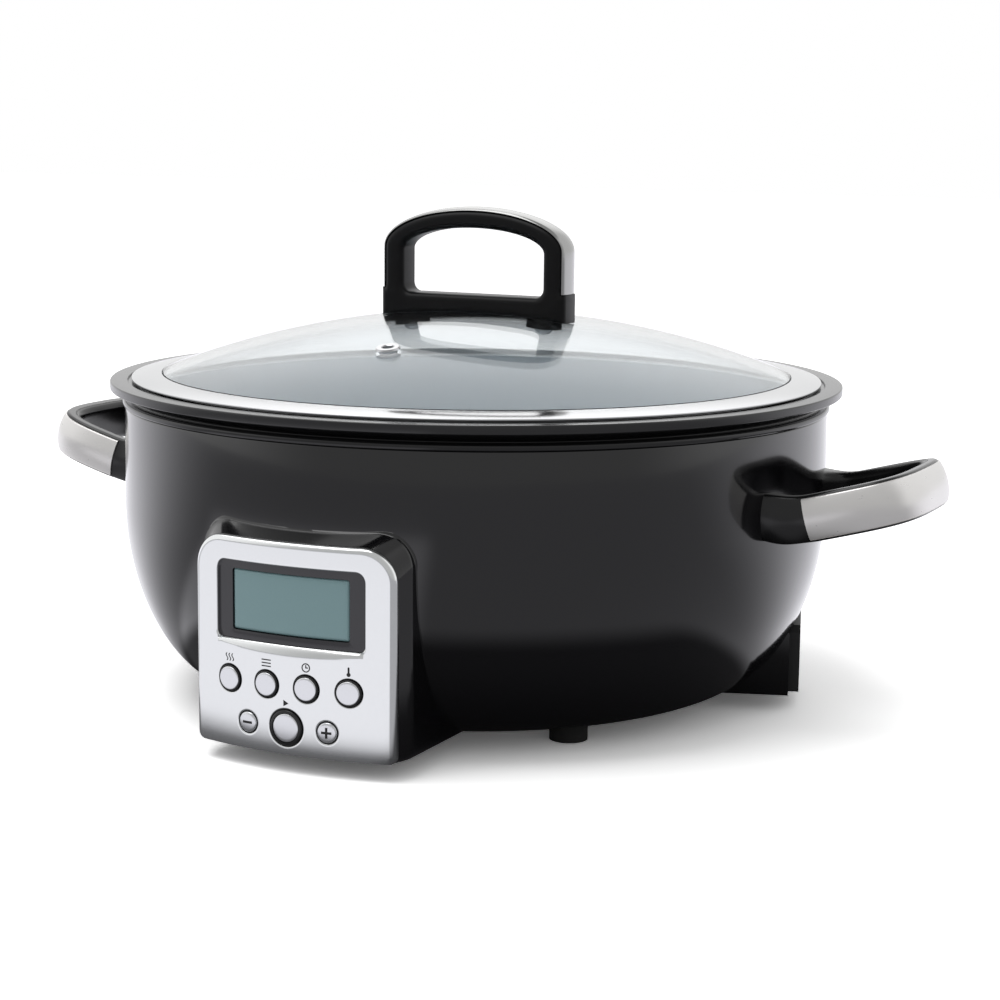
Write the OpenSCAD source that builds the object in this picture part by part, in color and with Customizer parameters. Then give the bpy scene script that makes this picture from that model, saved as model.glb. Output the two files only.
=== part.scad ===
// Multicooker: a heated base with a control pod in front, a lift-out pot and a lift-off glass lid.
// The origin is on the pot axis at floor level, +Z is up, the controls face -Y,
// and the two carrying handles lie on +X and -X.

/* [Housing] */
// Space between the pot wall and the housing's outside
housing_gap = 9; // [8.5:0.5:14]
// How far the housing leans in at its top edge
housing_lean = 0.5; // [0:0.1:1]
// How far the bowl draws in to the flat underside
bowl_w = 50; // [45:1:55]
// Height where the upright wall turns into the bowl
belly_z = 89.3; // [82:0.1:97]
// Wall of the moulded housing
wall = 2.5; // [2:0.1:3]
// Height of the rubber feet under the base plane
foot_h = 7.3; // [5:0.1:9]
// Radius of a rubber foot
foot_r = 8.25; // [6:0.25:10]
// How far the feet stand inside the edge of the flat underside
foot_in = 5; // [3:0.5:8]
// Thickness of the base cover
cover_t = 2.5; // [2:0.1:3]
// Number of screws that hold the base cover
base_screw_count = 6; // [4:1:8]

/* [Pot] */
// Height of the pot rim's top above the floor
rim_z = 143.3; // [141:0.1:149]
// Thickness of the pot rim
pot_rim_t = 3.8; // [3:0.1:5]
// Outer radius of the pot wall
pot_r = 150; // [135:1:165]
// How far the pot rim reaches out over the wall
pot_rim_w = 15; // [13:0.5:18]
// Thickness of the pot wall
pot_wall = 3; // [2:0.1:3.5]
// Height of the pot's underside above the floor
pot_bottom_z = 47.3; // [45:0.1:51]
// Radius of the pot's lower corner, as a share of its wall's
pot_corner_share = 0.3; // [0.25:0.01:0.31]
// Width of the lid seat, outward from the pot wall
lid_seat_w = 7; // [6.5:0.1:8]
// Depth of the lid seat below the rim's top
lid_seat_drop = 0.8; // [0.5:0.1:1.2]

/* [Trim ring] */
// How far the trim ring's lip stands out over the housing
ring_over = 1; // [1:0.5:3]
// Height of the lip
ring_lip_h = 4; // [3:0.5:5]
// Height of the land that carries the pot rim, above the lip
ring_land_h = 3; // [2:0.5:4]
// Depth of the skirt inside the housing
ring_skirt_h = 11; // [8:1:14]

/* [Heater] */
// Gap between the pot wall and the heat liner
liner_gap = 2; // [1.5:0.1:2.2]
// Sheet thickness of the heat liner
liner_t = 0.9; // [0.7:0.1:1.2]
// How much larger the liner's corner radius is than the pot's
liner_corner_more = 7; // [5:0.5:8]
// Height of the liner's floor above the floor
liner_floor_z = 33.3; // [32:0.1:35.5]
// Radius of the cast heating plate, as a share of the pot's
plate_share = 0.6; // [0.54:0.01:0.61]
// Thickness of the heating plate
plate_t = 11.7; // [10:0.1:12.5]
// How far inside the plate's edge the tubular element runs
element_in = 24; // [20:1:28]
// Radius of the element's tube
element_r = 4; // [3:0.25:4.5]
// How far inside the plate's edge the heater posts stand
post_in = 12; // [11:0.5:14]
// Radius of the temperature sensor's cap
sensor_r = 18; // [16:0.5:19]
// Travel of the sensor's cap
sensor_travel = 3; // [2:0.5:4]

/* [Lid] */
// Gap between the lid's steel band and the edge of its seat
band_gap = 1.5; // [1:0.1:3]
// How far inside the pot wall the band's top face reaches
band_in = 8; // [7:0.5:11]
// Height of the glass above the rim at the band
band_rise = 3; // [2.5:0.1:4]
// Height of the glass above the rim at its middle
dome_rise = 29.7; // [27:0.5:34]
// Thickness of the glass
glass_t = 4; // [3:0.5:5]
// Distance of the steam vent from the lid's middle, as a share of the glass
vent_share = 0.6; // [0.45:0.01:0.75]
// Half length of the lid handle
knob_half = 46; // [42:0.5:52]
// Thickness of the lid handle, front to back
knob_depth = 15; // [13:0.5:18]
// Height of the lid handle's top above the rim
knob_top = 75; // [68:0.5:80]
// Width of the steel strap over the lid handle
strap_w = 13; // [10:0.5:13]
// Thickness of the steel strap over the lid handle
strap_t = 2; // [1:0.25:3]
// Half distance between the lid handle's screws
knob_screw_x = 33.5; // [28:0.5:36]

/* [Side handles] */
// Reach of a side handle from the housing
grip_reach = 58; // [52:1:64]
// Half width of a side handle, over its strip
grip_half = 43; // [40:0.5:47]
// Height of a side handle's middle at the housing
grip_z = 95; // [93:0.1:97]
// Upward tilt of a side handle
grip_tilt = 14.9; // [10:0.1:17]
// Width of the grip, across its loop
grip_w = 14; // [11:0.5:17]
// Height of the grip
grip_h = 19.6; // [18:0.1:22]
// Height of the steel strip round the grip
strip_h = 17.6; // [13:0.1:17.6]
// Thickness of the steel strip
strip_t = 2; // [1:0.25:3]

/* [Control pod] */
// How far the control face stands out from the housing
face_out = 11; // [10:0.5:14]
// Half width of the control face
face_half = 46; // [45:0.5:50]
// Height of the control face's top edge
face_top_z = 94.3; // [93:0.1:99]
// Radius of the control face's upper corners
face_corner_r = 14; // [10:0.5:16]
// Thickness of the control bezel
bezel_t = 3; // [2.5:0.1:3.5]
// How far the pod's rear is wider than its face, on each side
pod_flare = 3; // [2.5:0.5:6]
// How far the pod's rear is wider than its face near the floor
pod_low_flare = 2.5; // [1:0.5:2.5]
// How far the pod's rear is higher than its face
pod_rise = 5.5; // [2:0.5:7]
// Width of the bezel on each side of the display window
window_margin = 12; // [11.5:0.5:16]
// Height of the display window's lower edge
window_z0 = 52.5; // [51:0.1:55]
// Height of the display window's upper edge
window_z1 = 84.5; // [79:0.1:85.3]
// Spacing of the upper row of buttons, as a share of the face's half width
button_share = 0.398; // [0.37:0.002:0.402]
// Height of the upper row of buttons
button_z = 35.9; // [35:0.1:37]
// Height of the lower row of buttons
low_button_z = 19; // [18:0.1:19.5]
// Radius of an upper button's cap
button_r = 4.8; // [4:0.1:5.1]
// Radius of the minus and plus caps
small_button_r = 3.9; // [3.5:0.1:4.2]
// Radius of the start button's ring
start_r = 7; // [6:0.1:7.3]
// Radius of the start button's metal cap
start_cap_r = 5.6; // [4.5:0.1:5.8]
// Gap round the buttons
button_gap = 0.6; // [0.4:0.1:0.8]
// Travel of the buttons
button_travel = 0.8; // [0.5:0.1:1]

/* [Power inlet] */
// Direction of the inlet, behind +X
inlet_angle = 18; // [10:1:25]
// Half width of the inlet's block
inlet_half = 28; // [24:1:32]
// How far the block's end stands out from the flat underside
inlet_out = 36.2; // [33:0.1:39]
// Height of the inlet's block
inlet_h = 34; // [31:1:38]
// Thickness of the inlet's flange plate
inlet_plate_t = 4.6; // [4:0.2:6]
// Half width of the flange plate
inlet_plate_half = 20; // [18:1:23]
// Height of the flange plate
inlet_plate_h = 30; // [26:1:32]

/* [Hidden] */
$fn = 96;
// Fragments of the large round faces
round_face = 400;

// Clearances
slide_gap = 0.4;
seat_gap = 0.2;
skin_gap = 0.1;
eps = 0.02;

// Radii that follow from the pot's
housing_r = pot_r + housing_gap;
housing_top_r = housing_r - housing_lean;
base_r = housing_r - bowl_w;
foot_ring_r = base_r - foot_in;
foot_angle = 41;
ring_r = housing_top_r + ring_over;
pot_rim_r = pot_r + pot_rim_w;
pot_corner_r = pot_corner_share * pot_r;
lid_seat_r = pot_r + lid_seat_w;
liner_corner_r = pot_corner_r + liner_corner_more;
plate_r = plate_share * pot_r;
element_ring_r = plate_r - element_in;
post_ring_r = plate_r - post_in;
band_r = lid_seat_r - band_gap;
band_in_r = pot_r - band_in;
dome_sag = dome_rise - band_rise;
dome_r = (band_in_r * band_in_r + dome_sag * dome_sag) / (2 * dome_sag);
vent_y = vent_share * band_in_r;
face_r = housing_r + face_out;
inlet_reach = base_r + inlet_out;

// Levels of the housing and the trim ring
base_z = foot_h;
cover_top = base_z + cover_t;
ledge_w = 9;
ledge_top = cover_top + wall;
land_z = rim_z - pot_rim_t - seat_gap;
lip_z = land_z - ring_land_h;
housing_top_z = lip_z - ring_lip_h;
belly_h = belly_z - base_z;
ring_edge = 0.6;
ring_land_w = 4;
ring_in_gap = 1;

// Screw sizes
screw_r = 2;
screw_head_r = 3.2;
screw_head_h = 1.7;
small_screw_r = 1.3;
small_head_r = 2.4;
small_head_h = 1.5;

// Base cover fasteners
base_screw_ring_r = base_r - ledge_w / 2;
base_boss_r = 4;
base_boss_h = 7;
vent_count = 24;
vent_len = 10.3;
vent_w = 3;
vent_margin = 3;

// Heater levels
liner_r = pot_r + liner_gap;
liner_center_r = liner_r - liner_corner_r;
liner_center_z = liner_floor_z + liner_corner_r;
plate_gap = 0.3;
plate_top_z = pot_bottom_z - plate_gap;
plate_z = plate_top_z - plate_t;
plate_hole_r = sensor_r + 2;
post_r = 5;
post_count = 3;
post_angle = 90;
element_tail = 10;
fuse_r = 2;
fuse_len = 26;
fuse_y = 40;

// Sensor
sensor_wall = 2;
sensor_skirt_h = 11.7;
sensor_top_z = plate_top_z;
bracket_r = sensor_r - sensor_wall - slide_gap;
bracket_wall = 1.2;
bracket_floor = 2;
bracket_top_z = sensor_top_z - sensor_wall - sensor_travel - 1.5;
spring_wire_r = 0.8;
spring_r = bracket_r - bracket_wall - spring_wire_r - 1;
spring_turns = 5;

// Power board
board_z = cover_top + 3.5;
board_t = 1.6;
board_x0 = -45;
board_x1 = 25;
board_y0 = -62;
board_y1 = -19;
board_inset = 4;
relay_size = [20, 16, 11];
relay_place = [10, 14];
coil_size = [22, 20, 14];
coil_place = [36, 10];
board_boss_r = 3.4;

// Lid levels
dome_z = rim_z + dome_rise - dome_r;
band_t = 0.9;
band_edge_z = rim_z + 1.2;
band_in_z = dome_height(band_in_r);
band_skirt_r = pot_r - pot_wall - 0.9;
band_seat_z = rim_z - lid_seat_drop + 0.3;
glass_r = band_skirt_r - band_t - 0.3;
glass_recess = 1.2;
knob_base = 39.5;
knob_spring = 58;
knob_base_z = rim_z + knob_base;
knob_spring_z = rim_z + knob_spring;
knob_leg = 7.7;
knob_bar = 7.5;
knob_fillet = 4;
knob_hole_half = knob_half - strap_t - knob_leg;
knob_hole_z = knob_base_z - 0.5;
washer_r = 8;
washer_t = 2.2;
lid_screw_head_r = 4.2;
lid_screw_head_h = 2.6;
vent_hole_r = 4;
vent_tilt = asin(vent_y / dome_r);
knob_tilt = asin(knob_screw_x / dome_r);
knob_screw_grip = knob_base_z - dome_height(knob_screw_x) - 3;

// Control pod
face_z0 = base_z;
window_half = face_half - window_margin;
button_pitch = button_share * face_half;
bezel_in_r = face_r - bezel_t;
chin_corner_r = 5;
pod_wall = 2.5;
pod_rear_y = housing_r - 5;
pod_back_y = base_r - 10;
window_overlap = 3;
window_t = 1.8;
window_r = bezel_in_r - seat_gap;
board_front_y = liner_r + liner_t + 2.2;
panel_t = 1.6;
panel_half = face_half - 5;
panel_z0 = face_z0 + 4;
panel_z1 = face_top_z - 8;
boss_in = 6;
boss_x = face_half - boss_in;
boss_r = 2.5;
boss_z = [face_z0 + 8, face_top_z - 13];
shell_port_half = panel_half + 3;
flange_extra = 1.6;
flange_t = 1.5;
button_proud = 0.8;
switch_w = 6;
switch_h = 3.5;
plunger_r = 1.7;
plunger_h = 0.8;
stem_r = 2.2;
switch_top_y = board_front_y + switch_h + plunger_h;
ribbon_half = 8;
ribbon_t = 1;
ribbon_z = 23.3;
ribbon_y = -board_y0 - 1;

// Power inlet
inlet_top_z = base_z + inlet_h;
inlet_slope = 6;
inlet_sink = 5;
inlet_recess = 3.5;
recess_half = 13;
recess_h = 15;
inlet_mid_z = base_z + inlet_plate_h / 2;
pin_r = 1.6;
pin_x = 6;
magnet_x = 10.6;

// Side handles
grip_root_x = housing_r - 1;
grip_sink = 8;
grip_power_u = 3.74;
grip_power_v = 4.33;
grip_round = 4;
grip_edge = 0.9;
grip_flare = 0.3;
grip_flare_len = 13.5;
strip_start = 14;
grip_screw_v = grip_half - strip_t - grip_w / 2;
grip_screw_angle = asin(grip_screw_v / (housing_r + 6));
grip_screw_seat = housing_r - wall - 0.3;
grip_screw_len = 14;

// Points along an ellipse's arc, from angle a0 to a1
function arc(cx, cy, rx, ry, a0, a1, n) =
    [for (i = [0 : n]) let (a = a0 + (a1 - a0) * i / n) [cx + rx * cos(a), cy + ry * sin(a)]];

function unit(v) = v / norm(v);

// Height of the glass dome's outer face at a distance r from the lid's middle
function dome_height(r) = dome_z + sqrt(dome_r * dome_r - r * r);

// Height of the glass dome's inner face
function dome_under(r) = dome_z + sqrt((dome_r - glass_t) * (dome_r - glass_t) - r * r);

// Distance in front of the pot axis of a cylinder of radius r, at side distance x
function front_y(r, x) = sqrt(r * r - x * x);

// A rounded panel in the X-Z plane, from z0 to z1, upper corners ru, lower corners rl;
// less is how much narrower each side is at the bottom
module panel_outline(half, z0, z1, ru, rl, less = 0) {
    polygon(concat(
        arc(half - less - rl, z0 + rl, rl, rl, -90, 0, 8),
        arc(half - ru, z1 - ru, ru, ru, 0, 90, 10),
        arc(ru - half, z1 - ru, ru, ru, 90, 180, 10),
        arc(rl + less - half, z0 + rl, rl, rl, 180, 270, 8)
    ));
}

// Stands an X-Z outline up, so that it reaches from y0 to y1 in front of the pot axis
module stand(y0, y1) {
    translate([0, -y0, 0])
        rotate([90, 0, 0])
            linear_extrude(y1 - y0)
                children();
}

// A pin along Y from y0 to y1 in front of the pot axis
module pin_y(x, z, y0, y1, r) {
    translate([x, -y0, z])
        rotate([90, 0, 0])
            cylinder(r = r, h = y1 - y0);
}

// The housing's filled outer form, grown by a clearance
module housing_form(grow) {
    rotate_extrude()
        polygon(concat(
            [[0, base_z - grow]],
            arc(base_r, belly_z, bowl_w + grow, belly_h + grow, -90, 0, 20),
            [[housing_top_r + grow, housing_top_z + grow], [0, housing_top_z + grow]]
        ));
}

// Places copies on a ring about the pot axis
module around(count, r, first = 0) {
    for (i = [0 : count - 1])
        rotate([0, 0, first + i * 360 / count])
            translate([r, 0, 0])
                children();
}

// Turns a piece that points along +X towards the power inlet
module at_inlet() {
    rotate([0, 0, inlet_angle])
        children();
}

// Housing and base

module housing_shell() {
    inner_end = asin((belly_z - ledge_top) / (belly_h - wall));
    color("#1b1b1d")
        difference() {
            union() {
                rotate_extrude()
                    polygon(concat(
                        arc(base_r, belly_z, bowl_w, belly_h, -90, 0, 20),
                        [[housing_top_r, housing_top_z], [housing_top_r - wall, housing_top_z]],
                        arc(base_r, belly_z, bowl_w - wall, belly_h - wall, 0, -inner_end, 20),
                        [
                            [base_r - ledge_w, ledge_top],
                            [base_r - ledge_w, cover_top],
                            [base_r, cover_top]
                        ]
                    ));
                around(base_screw_count, base_screw_ring_r)
                    translate([0, 0, ledge_top - eps])
                        cylinder(r = base_boss_r, h = base_boss_h);
            }
            around(base_screw_count, base_screw_ring_r)
                translate([0, 0, cover_top - 1])
                    cylinder(r = screw_r, h = base_boss_h + 2);
            // Port behind the control pod
            stand(base_r, face_r)
                panel_outline(shell_port_half, panel_z0, panel_z1 + 1, 6, 6);
            // Port behind the power inlet
            at_inlet()
                translate([base_r, -recess_half, inlet_mid_z - recess_h / 2 + 2])
                    cube([bowl_w, 2 * recess_half, recess_h - 4]);
            for (side = [0, 180], end = [-1, 1])
                grip_screw_bore(side, end, screw_r);
        }
}

module base_cover() {
    vent_in = base_screw_ring_r - screw_head_r - vent_margin - vent_len;
    color("#202022")
        difference() {
            union() {
                translate([0, 0, base_z])
                    cylinder(r = base_r - slide_gap, h = cover_t);
                at_board_corners()
                    translate([0, 0, cover_top - eps])
                        cylinder(r = board_boss_r, h = board_z - cover_top + eps);
            }
            around(vent_count, vent_in, 360 / vent_count / 2)
                translate([0, -vent_w / 2, base_z - 1])
                    cube([vent_len, vent_w, cover_t + 2]);
            around(base_screw_count, base_screw_ring_r)
                screw_seat();
            around(post_count, post_ring_r, post_angle)
                screw_seat();
            at_board_corners()
                translate([0, 0, cover_top])
                    cylinder(r = small_screw_r, h = board_z);
        }
}

// A counterbored hole in the base cover
module screw_seat() {
    translate([0, 0, base_z - 1])
        cylinder(r = screw_head_r + 0.3, h = screw_head_h + 1);
    translate([0, 0, base_z])
        cylinder(r = screw_r + 0.2, h = cover_t + 1);
}

// A screw driven up from the base cover's counterbore
module cover_screw(length) {
    translate([0, 0, base_z + 0.1])
        cylinder(r = screw_head_r, h = screw_head_h - 0.1);
    translate([0, 0, base_z + screw_head_h - eps])
        cylinder(r = screw_r - skin_gap, h = length);
}

module rubber_feet() {
    color("#2a2a2a")
        difference() {
            for (a = [foot_angle, 180 - foot_angle, 180 + foot_angle, -foot_angle])
                rotate([0, 0, a])
                    translate([foot_ring_r, 0, 0])
                        cylinder(r = foot_r, h = 2 * foot_h);
            housing_form(0);
        }
}

module base_screws() {
    color("#9a9a9e")
        around(base_screw_count, base_screw_ring_r)
            cover_screw(base_boss_h + 1);
}

module top_ring() {
    ring_in = pot_r + ring_in_gap;
    land_out = ring_in + ring_land_w;
    skirt_in = liner_r + liner_t + slide_gap;
    skirt_out = housing_top_r - wall - slide_gap;
    color("#141415")
        rotate_extrude()
            polygon([
                [ring_in, housing_top_z], [skirt_in, housing_top_z],
                [skirt_in, housing_top_z - ring_skirt_h], [skirt_out, housing_top_z - ring_skirt_h],
                [skirt_out, housing_top_z], [ring_r, housing_top_z],
                [ring_r, lip_z - ring_edge], [ring_r - ring_edge, lip_z],
                [land_out, lip_z], [land_out, land_z], [ring_in, land_z]
            ]);
}

// Heater

module heat_liner() {
    hole_r = plate_r + 4;
    color("#b9bbbe")
        rotate_extrude()
            polygon(concat(
                [[hole_r, liner_floor_z]],
                arc(liner_center_r, liner_center_z, liner_corner_r, liner_corner_r, -90, 0, 16),
                [[liner_r, housing_top_z], [liner_r + liner_t, housing_top_z]],
                arc(liner_center_r, liner_center_z,
                    liner_corner_r + liner_t, liner_corner_r + liner_t, 0, -90, 16),
                [[hole_r, liner_floor_z - liner_t]]
            ));
}

module heating_plate() {
    edge = 2;
    color("#c4c6c9")
        difference() {
            rotate_extrude()
                polygon([
                    [plate_hole_r, plate_z], [plate_r - edge, plate_z], [plate_r, plate_z + edge],
                    [plate_r, plate_top_z - edge], [plate_r - edge, plate_top_z],
                    [plate_hole_r, plate_top_z]
                ]);
            rotate_extrude()
                translate([element_ring_r, plate_z])
                    circle(r = element_r + skin_gap);
            around(post_count, post_ring_r, post_angle)
                translate([0, 0, plate_z - 1])
                    cylinder(r = screw_r, h = plate_t * 0.6 + 1);
        }
}

module heating_element() {
    open_angle = 16;
    color("#8d8f93") {
        rotate([0, 0, open_angle / 2 - 90])
            rotate_extrude(angle = 360 - open_angle)
                translate([element_ring_r, plate_z])
                    circle(r = element_r);
        for (side = [-1, 1])
            rotate([0, 0, side * (open_angle / 2 + 3.4) - 90])
                translate([element_ring_r, 0, plate_z - element_tail])
                    cylinder(r = element_r - 1, h = element_tail);
    }
}

module heater_posts() {
    color("#8b8d90")
        around(post_count, post_ring_r, post_angle)
            difference() {
                translate([0, 0, cover_top])
                    cylinder(r = post_r, h = plate_z - cover_top);
                translate([0, 0, cover_top - 1])
                    cylinder(r = screw_r + 0.2, h = plate_z);
            }
}

module heater_screws() {
    color("#9a9a9e")
        around(post_count, post_ring_r, post_angle)
            cover_screw(plate_z - base_z - screw_head_h + plate_t * 0.5);
}

module thermal_fuse() {
    color("#d8d2c0")
        translate([-fuse_len / 2, fuse_y, plate_z - fuse_r - skin_gap])
            rotate([0, 90, 0])
                cylinder(r = fuse_r, h = fuse_len);
}

module fuse_clip() {
    clip_len = 8;
    clip_t = 0.8;
    drop = 2 * fuse_r + 3 * skin_gap;
    color("#b5b7ba")
        translate([-clip_len / 2, 0, 0])
            rotate([90, 0, 90])
                linear_extrude(clip_len)
                    polygon([
                        [fuse_y - 12, plate_z], [fuse_y - 3.4, plate_z],
                        [fuse_y - 2.4, plate_z - drop], [fuse_y + 2.4, plate_z - drop],
                        [fuse_y + 3.4, plate_z], [fuse_y + 12, plate_z],
                        [fuse_y + 12, plate_z - clip_t], [fuse_y + 4.2, plate_z - clip_t],
                        [fuse_y + 3.2, plate_z - drop - clip_t],
                        [fuse_y - 3.2, plate_z - drop - clip_t],
                        [fuse_y - 4.2, plate_z - clip_t], [fuse_y - 12, plate_z - clip_t]
                    ]);
}

module sensor_bracket() {
    color("#a5a7aa")
        difference() {
            translate([0, 0, cover_top])
                cylinder(r = bracket_r, h = bracket_top_z - cover_top);
            translate([0, 0, cover_top + bracket_floor])
                cylinder(r = bracket_r - bracket_wall, h = bracket_top_z);
        }
}

// Points of a ring of the spring's wire, at a share t of its length
function spring_ring(t, z0, z1, sides) =
    let (a = 360 * spring_turns * t)
    [for (k = [0 : sides - 1])
        let (
            b = -360 * k / sides,
            r = spring_r + spring_wire_r * cos(b)
        )
        [r * cos(a), r * sin(a), z0 + (z1 - z0) * t + spring_wire_r * sin(b)]];

// Faces of a tube with the given number of rings and sides, closed by its two ends
function tube_faces(rings, sides) = concat(
    [[for (k = [0 : sides - 1]) k]],
    [for (i = [0 : rings - 2], k = [0 : sides - 1])
        let (a = i * sides + k, b = i * sides + (k + 1) % sides)
        [a, a + sides, b + sides, b]],
    [[for (k = [sides - 1 : -1 : 0]) (rings - 1) * sides + k]]
);

module sensor_spring() {
    sides = 6;
    steps = spring_turns * 12;
    z0 = cover_top + bracket_floor + spring_wire_r + skin_gap;
    z1 = sensor_top_z - sensor_wall - spring_wire_r - skin_gap;
    color("#c9cacc")
        polyhedron(
            points = [for (i = [0 : steps]) each spring_ring(i / steps, z0, z1, sides)],
            faces = tube_faces(steps + 1, sides)
        );
}

module sensor_cap() {
    z0 = sensor_top_z - sensor_wall - sensor_skirt_h;
    color("#d0d1d3")
        difference() {
            translate([0, 0, z0])
                cylinder(r = sensor_r, h = sensor_top_z - z0);
            translate([0, 0, z0 - 1])
                cylinder(r = sensor_r - sensor_wall, h = sensor_skirt_h + 1);
        }
}

// Power electronics

module at_board_corners() {
    for (x = [board_x0 + board_inset, board_x1 - board_inset])
        for (y = [board_y0 + board_inset, board_y1 - board_inset])
            translate([x, y, 0])
                children();
}

module power_board() {
    color("#2f6b3f")
        difference() {
            translate([board_x0, board_y0, board_z])
                cube([board_x1 - board_x0, board_y1 - board_y0, board_t]);
            at_board_corners()
                translate([0, 0, board_z - 1])
                    cylinder(r = small_screw_r + 0.2, h = board_t + 2);
        }
}

module power_relay() {
    color("#2c5aa0")
        translate([board_x0 + relay_place[0], board_y0 + relay_place[1], board_z + board_t])
            cube(relay_size);
}

module transformer() {
    color("#8a5a2b")
        translate([board_x0 + coil_place[0], board_y0 + coil_place[1], board_z + board_t])
            cube(coil_size);
}

module board_screws() {
    color("#9a9a9e")
        at_board_corners() {
            translate([0, 0, board_z + board_t])
                cylinder(r = small_head_r, h = small_head_h);
            translate([0, 0, cover_top + 1])
                cylinder(r = small_screw_r - skin_gap, h = board_z + board_t - cover_top - 1 + eps);
        }
}

module ribbon_cable() {
    start_y = board_front_y - panel_t;
    color("#b8b8bb")
        translate([-ribbon_half, 0, 0])
            rotate([90, 0, 90])
                linear_extrude(2 * ribbon_half)
                    polygon([
                        [-start_y, ribbon_z], [-start_y, ribbon_z - ribbon_t],
                        [-ribbon_y - ribbon_t, ribbon_z - ribbon_t],
                        [-ribbon_y - ribbon_t, board_z + board_t],
                        [-ribbon_y, board_z + board_t],
                        [-ribbon_y, ribbon_z]
                    ]);
}

// Control pod

// The pod's filled form: a curved front that meets the bezel, flared to a wider rear
module pod_form(inset) {
    half = face_half - inset;
    z0 = face_z0 + inset;
    z1 = face_top_z - inset;
    ru = face_corner_r - inset;
    rl = chin_corner_r - inset;
    hull() {
        intersection() {
            cylinder(r = bezel_in_r - skin_gap, h = 2 * face_top_z, $fn = 128);
            stand(front_y(bezel_in_r, face_half) - 0.2, face_r)
                panel_outline(half, z0, z1, ru, rl);
        }
        stand(pod_rear_y - 0.5, pod_rear_y)
            panel_outline(half + pod_flare, z0, z1 + pod_rise, ru, rl, pod_flare - pod_low_flare);
    }
    stand(pod_back_y, pod_rear_y)
        panel_outline(half + pod_flare, z0, z1 + pod_rise, ru, rl, pod_flare - pod_low_flare);
}

module pod_housing() {
    color("#18181a")
        difference() {
            pod_form(0);
            pod_form(pod_wall);
            stand(front_y(bezel_in_r, face_half), face_r)
                panel_outline(face_half - pod_wall, face_z0 + pod_wall, face_top_z - pod_wall,
                    face_corner_r - pod_wall, chin_corner_r - pod_wall);
            housing_form(skin_gap);
        }
}

// A sheet that follows the control face, between two radii
module curved_sheet(r_in, r_out) {
    intersection() {
        difference() {
            cylinder(r = r_out, h = 2 * face_top_z, $fn = round_face);
            translate([0, 0, -1])
                cylinder(r = r_in, h = 2 * face_top_z + 2, $fn = round_face);
        }
        stand(pod_back_y, face_r + 5)
            children();
    }
}

function upper_button_x(i) = (i - 1.5) * button_pitch;

module at_bezel_bosses() {
    for (x = [-boss_x, boss_x])
        for (z = boss_z)
            translate([x, 0, z])
                children();
}

module control_bezel() {
    color("#dcdde0")
        difference() {
            union() {
                curved_sheet(bezel_in_r, face_r)
                    panel_outline(face_half, face_z0, face_top_z, face_corner_r, chin_corner_r);
                intersection() {
                    at_bezel_bosses()
                        pin_y(0, 0, board_front_y, face_r, boss_r);
                    cylinder(r = face_r - 1, h = 2 * face_top_z);
                }
            }
            stand(pod_back_y, face_r + 5)
                panel_outline(window_half, window_z0, window_z1, 4, 2);
            for (i = [0 : 3])
                pin_y(upper_button_x(i), button_z, pod_back_y, face_r + 5, button_r + button_gap);
            for (side = [-1, 1])
                pin_y(side * button_pitch, low_button_z, pod_back_y, face_r + 5,
                    small_button_r + button_gap);
            pin_y(0, low_button_z, pod_back_y, face_r + 5, start_r + button_gap);
            at_bezel_bosses()
                pin_y(0, 0, board_front_y - 1, board_front_y + 5, small_screw_r);
        }
}

module lcd_window() {
    color("#3c3c40")
        curved_sheet(window_r - window_t, window_r)
            panel_outline(window_half + window_overlap, window_z0 - window_overlap,
                window_z1 + window_overlap, 4, 4);
}

module lcd_module() {
    half = window_half - 3;
    front = front_y(window_r - window_t, half) - seat_gap;
    color("#6f8785")
        translate([-half, -front, window_z0 + 1])
            cube([2 * half, front - board_front_y, window_z1 - window_z0 - 2]);
}

module control_board() {
    color("#2f6b3f")
        difference() {
            translate([-panel_half, -board_front_y, panel_z0])
                cube([2 * panel_half, panel_t, panel_z1 - panel_z0]);
            at_bezel_bosses()
                pin_y(0, 0, board_front_y - panel_t - 1, board_front_y + 1, small_screw_r + 0.2);
        }
}

module tact_switch(x, z) {
    translate([x - switch_w / 2, -board_front_y - switch_h, z - switch_w / 2])
        cube([switch_w, switch_h, switch_w]);
    pin_y(x, z, board_front_y + switch_h - eps, switch_top_y, plunger_r);
}

module tact_switches() {
    color("#303034") {
        for (i = [0 : 3])
            tact_switch(upper_button_x(i), button_z);
        for (i = [-1 : 1])
            tact_switch(i * button_pitch, low_button_z);
    }
}

module bezel_screws() {
    head_y = board_front_y - panel_t;
    color("#9a9a9e")
        at_bezel_bosses() {
            pin_y(0, 0, head_y - small_head_h, head_y, small_head_r);
            pin_y(0, 0, head_y - eps, board_front_y + 4, small_screw_r - skin_gap);
        }
}

// A button: a cap that follows the control face, a flange behind the bezel and a stem
module push_button(x, z, r, bore = 0) {
    flange_r = r + button_gap + flange_extra;
    flange_y = front_y(bezel_in_r, abs(x) + flange_r) - 0.3;
    difference() {
        union() {
            intersection() {
                pin_y(x, z, flange_y - eps, face_r + 5, r);
                cylinder(r = face_r + button_proud, h = 2 * face_top_z, $fn = round_face);
            }
            pin_y(x, z, flange_y - flange_t, flange_y, flange_r);
            pin_y(x, z, switch_top_y + button_travel + skin_gap, flange_y - eps, stem_r);
        }
        if (bore > 0)
            pin_y(x, z, front_y(face_r, abs(x)) - 1.2, face_r + 5, bore);
    }
}

module mode_button() {
    color("#d5d6d9")
        push_button(upper_button_x(0), button_z, button_r);
}

module menu_button() {
    color("#d5d6d9")
        push_button(upper_button_x(1), button_z, button_r);
}

module time_button() {
    color("#d5d6d9")
        push_button(upper_button_x(2), button_z, button_r);
}

module heat_button() {
    color("#d5d6d9")
        push_button(upper_button_x(3), button_z, button_r);
}

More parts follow.
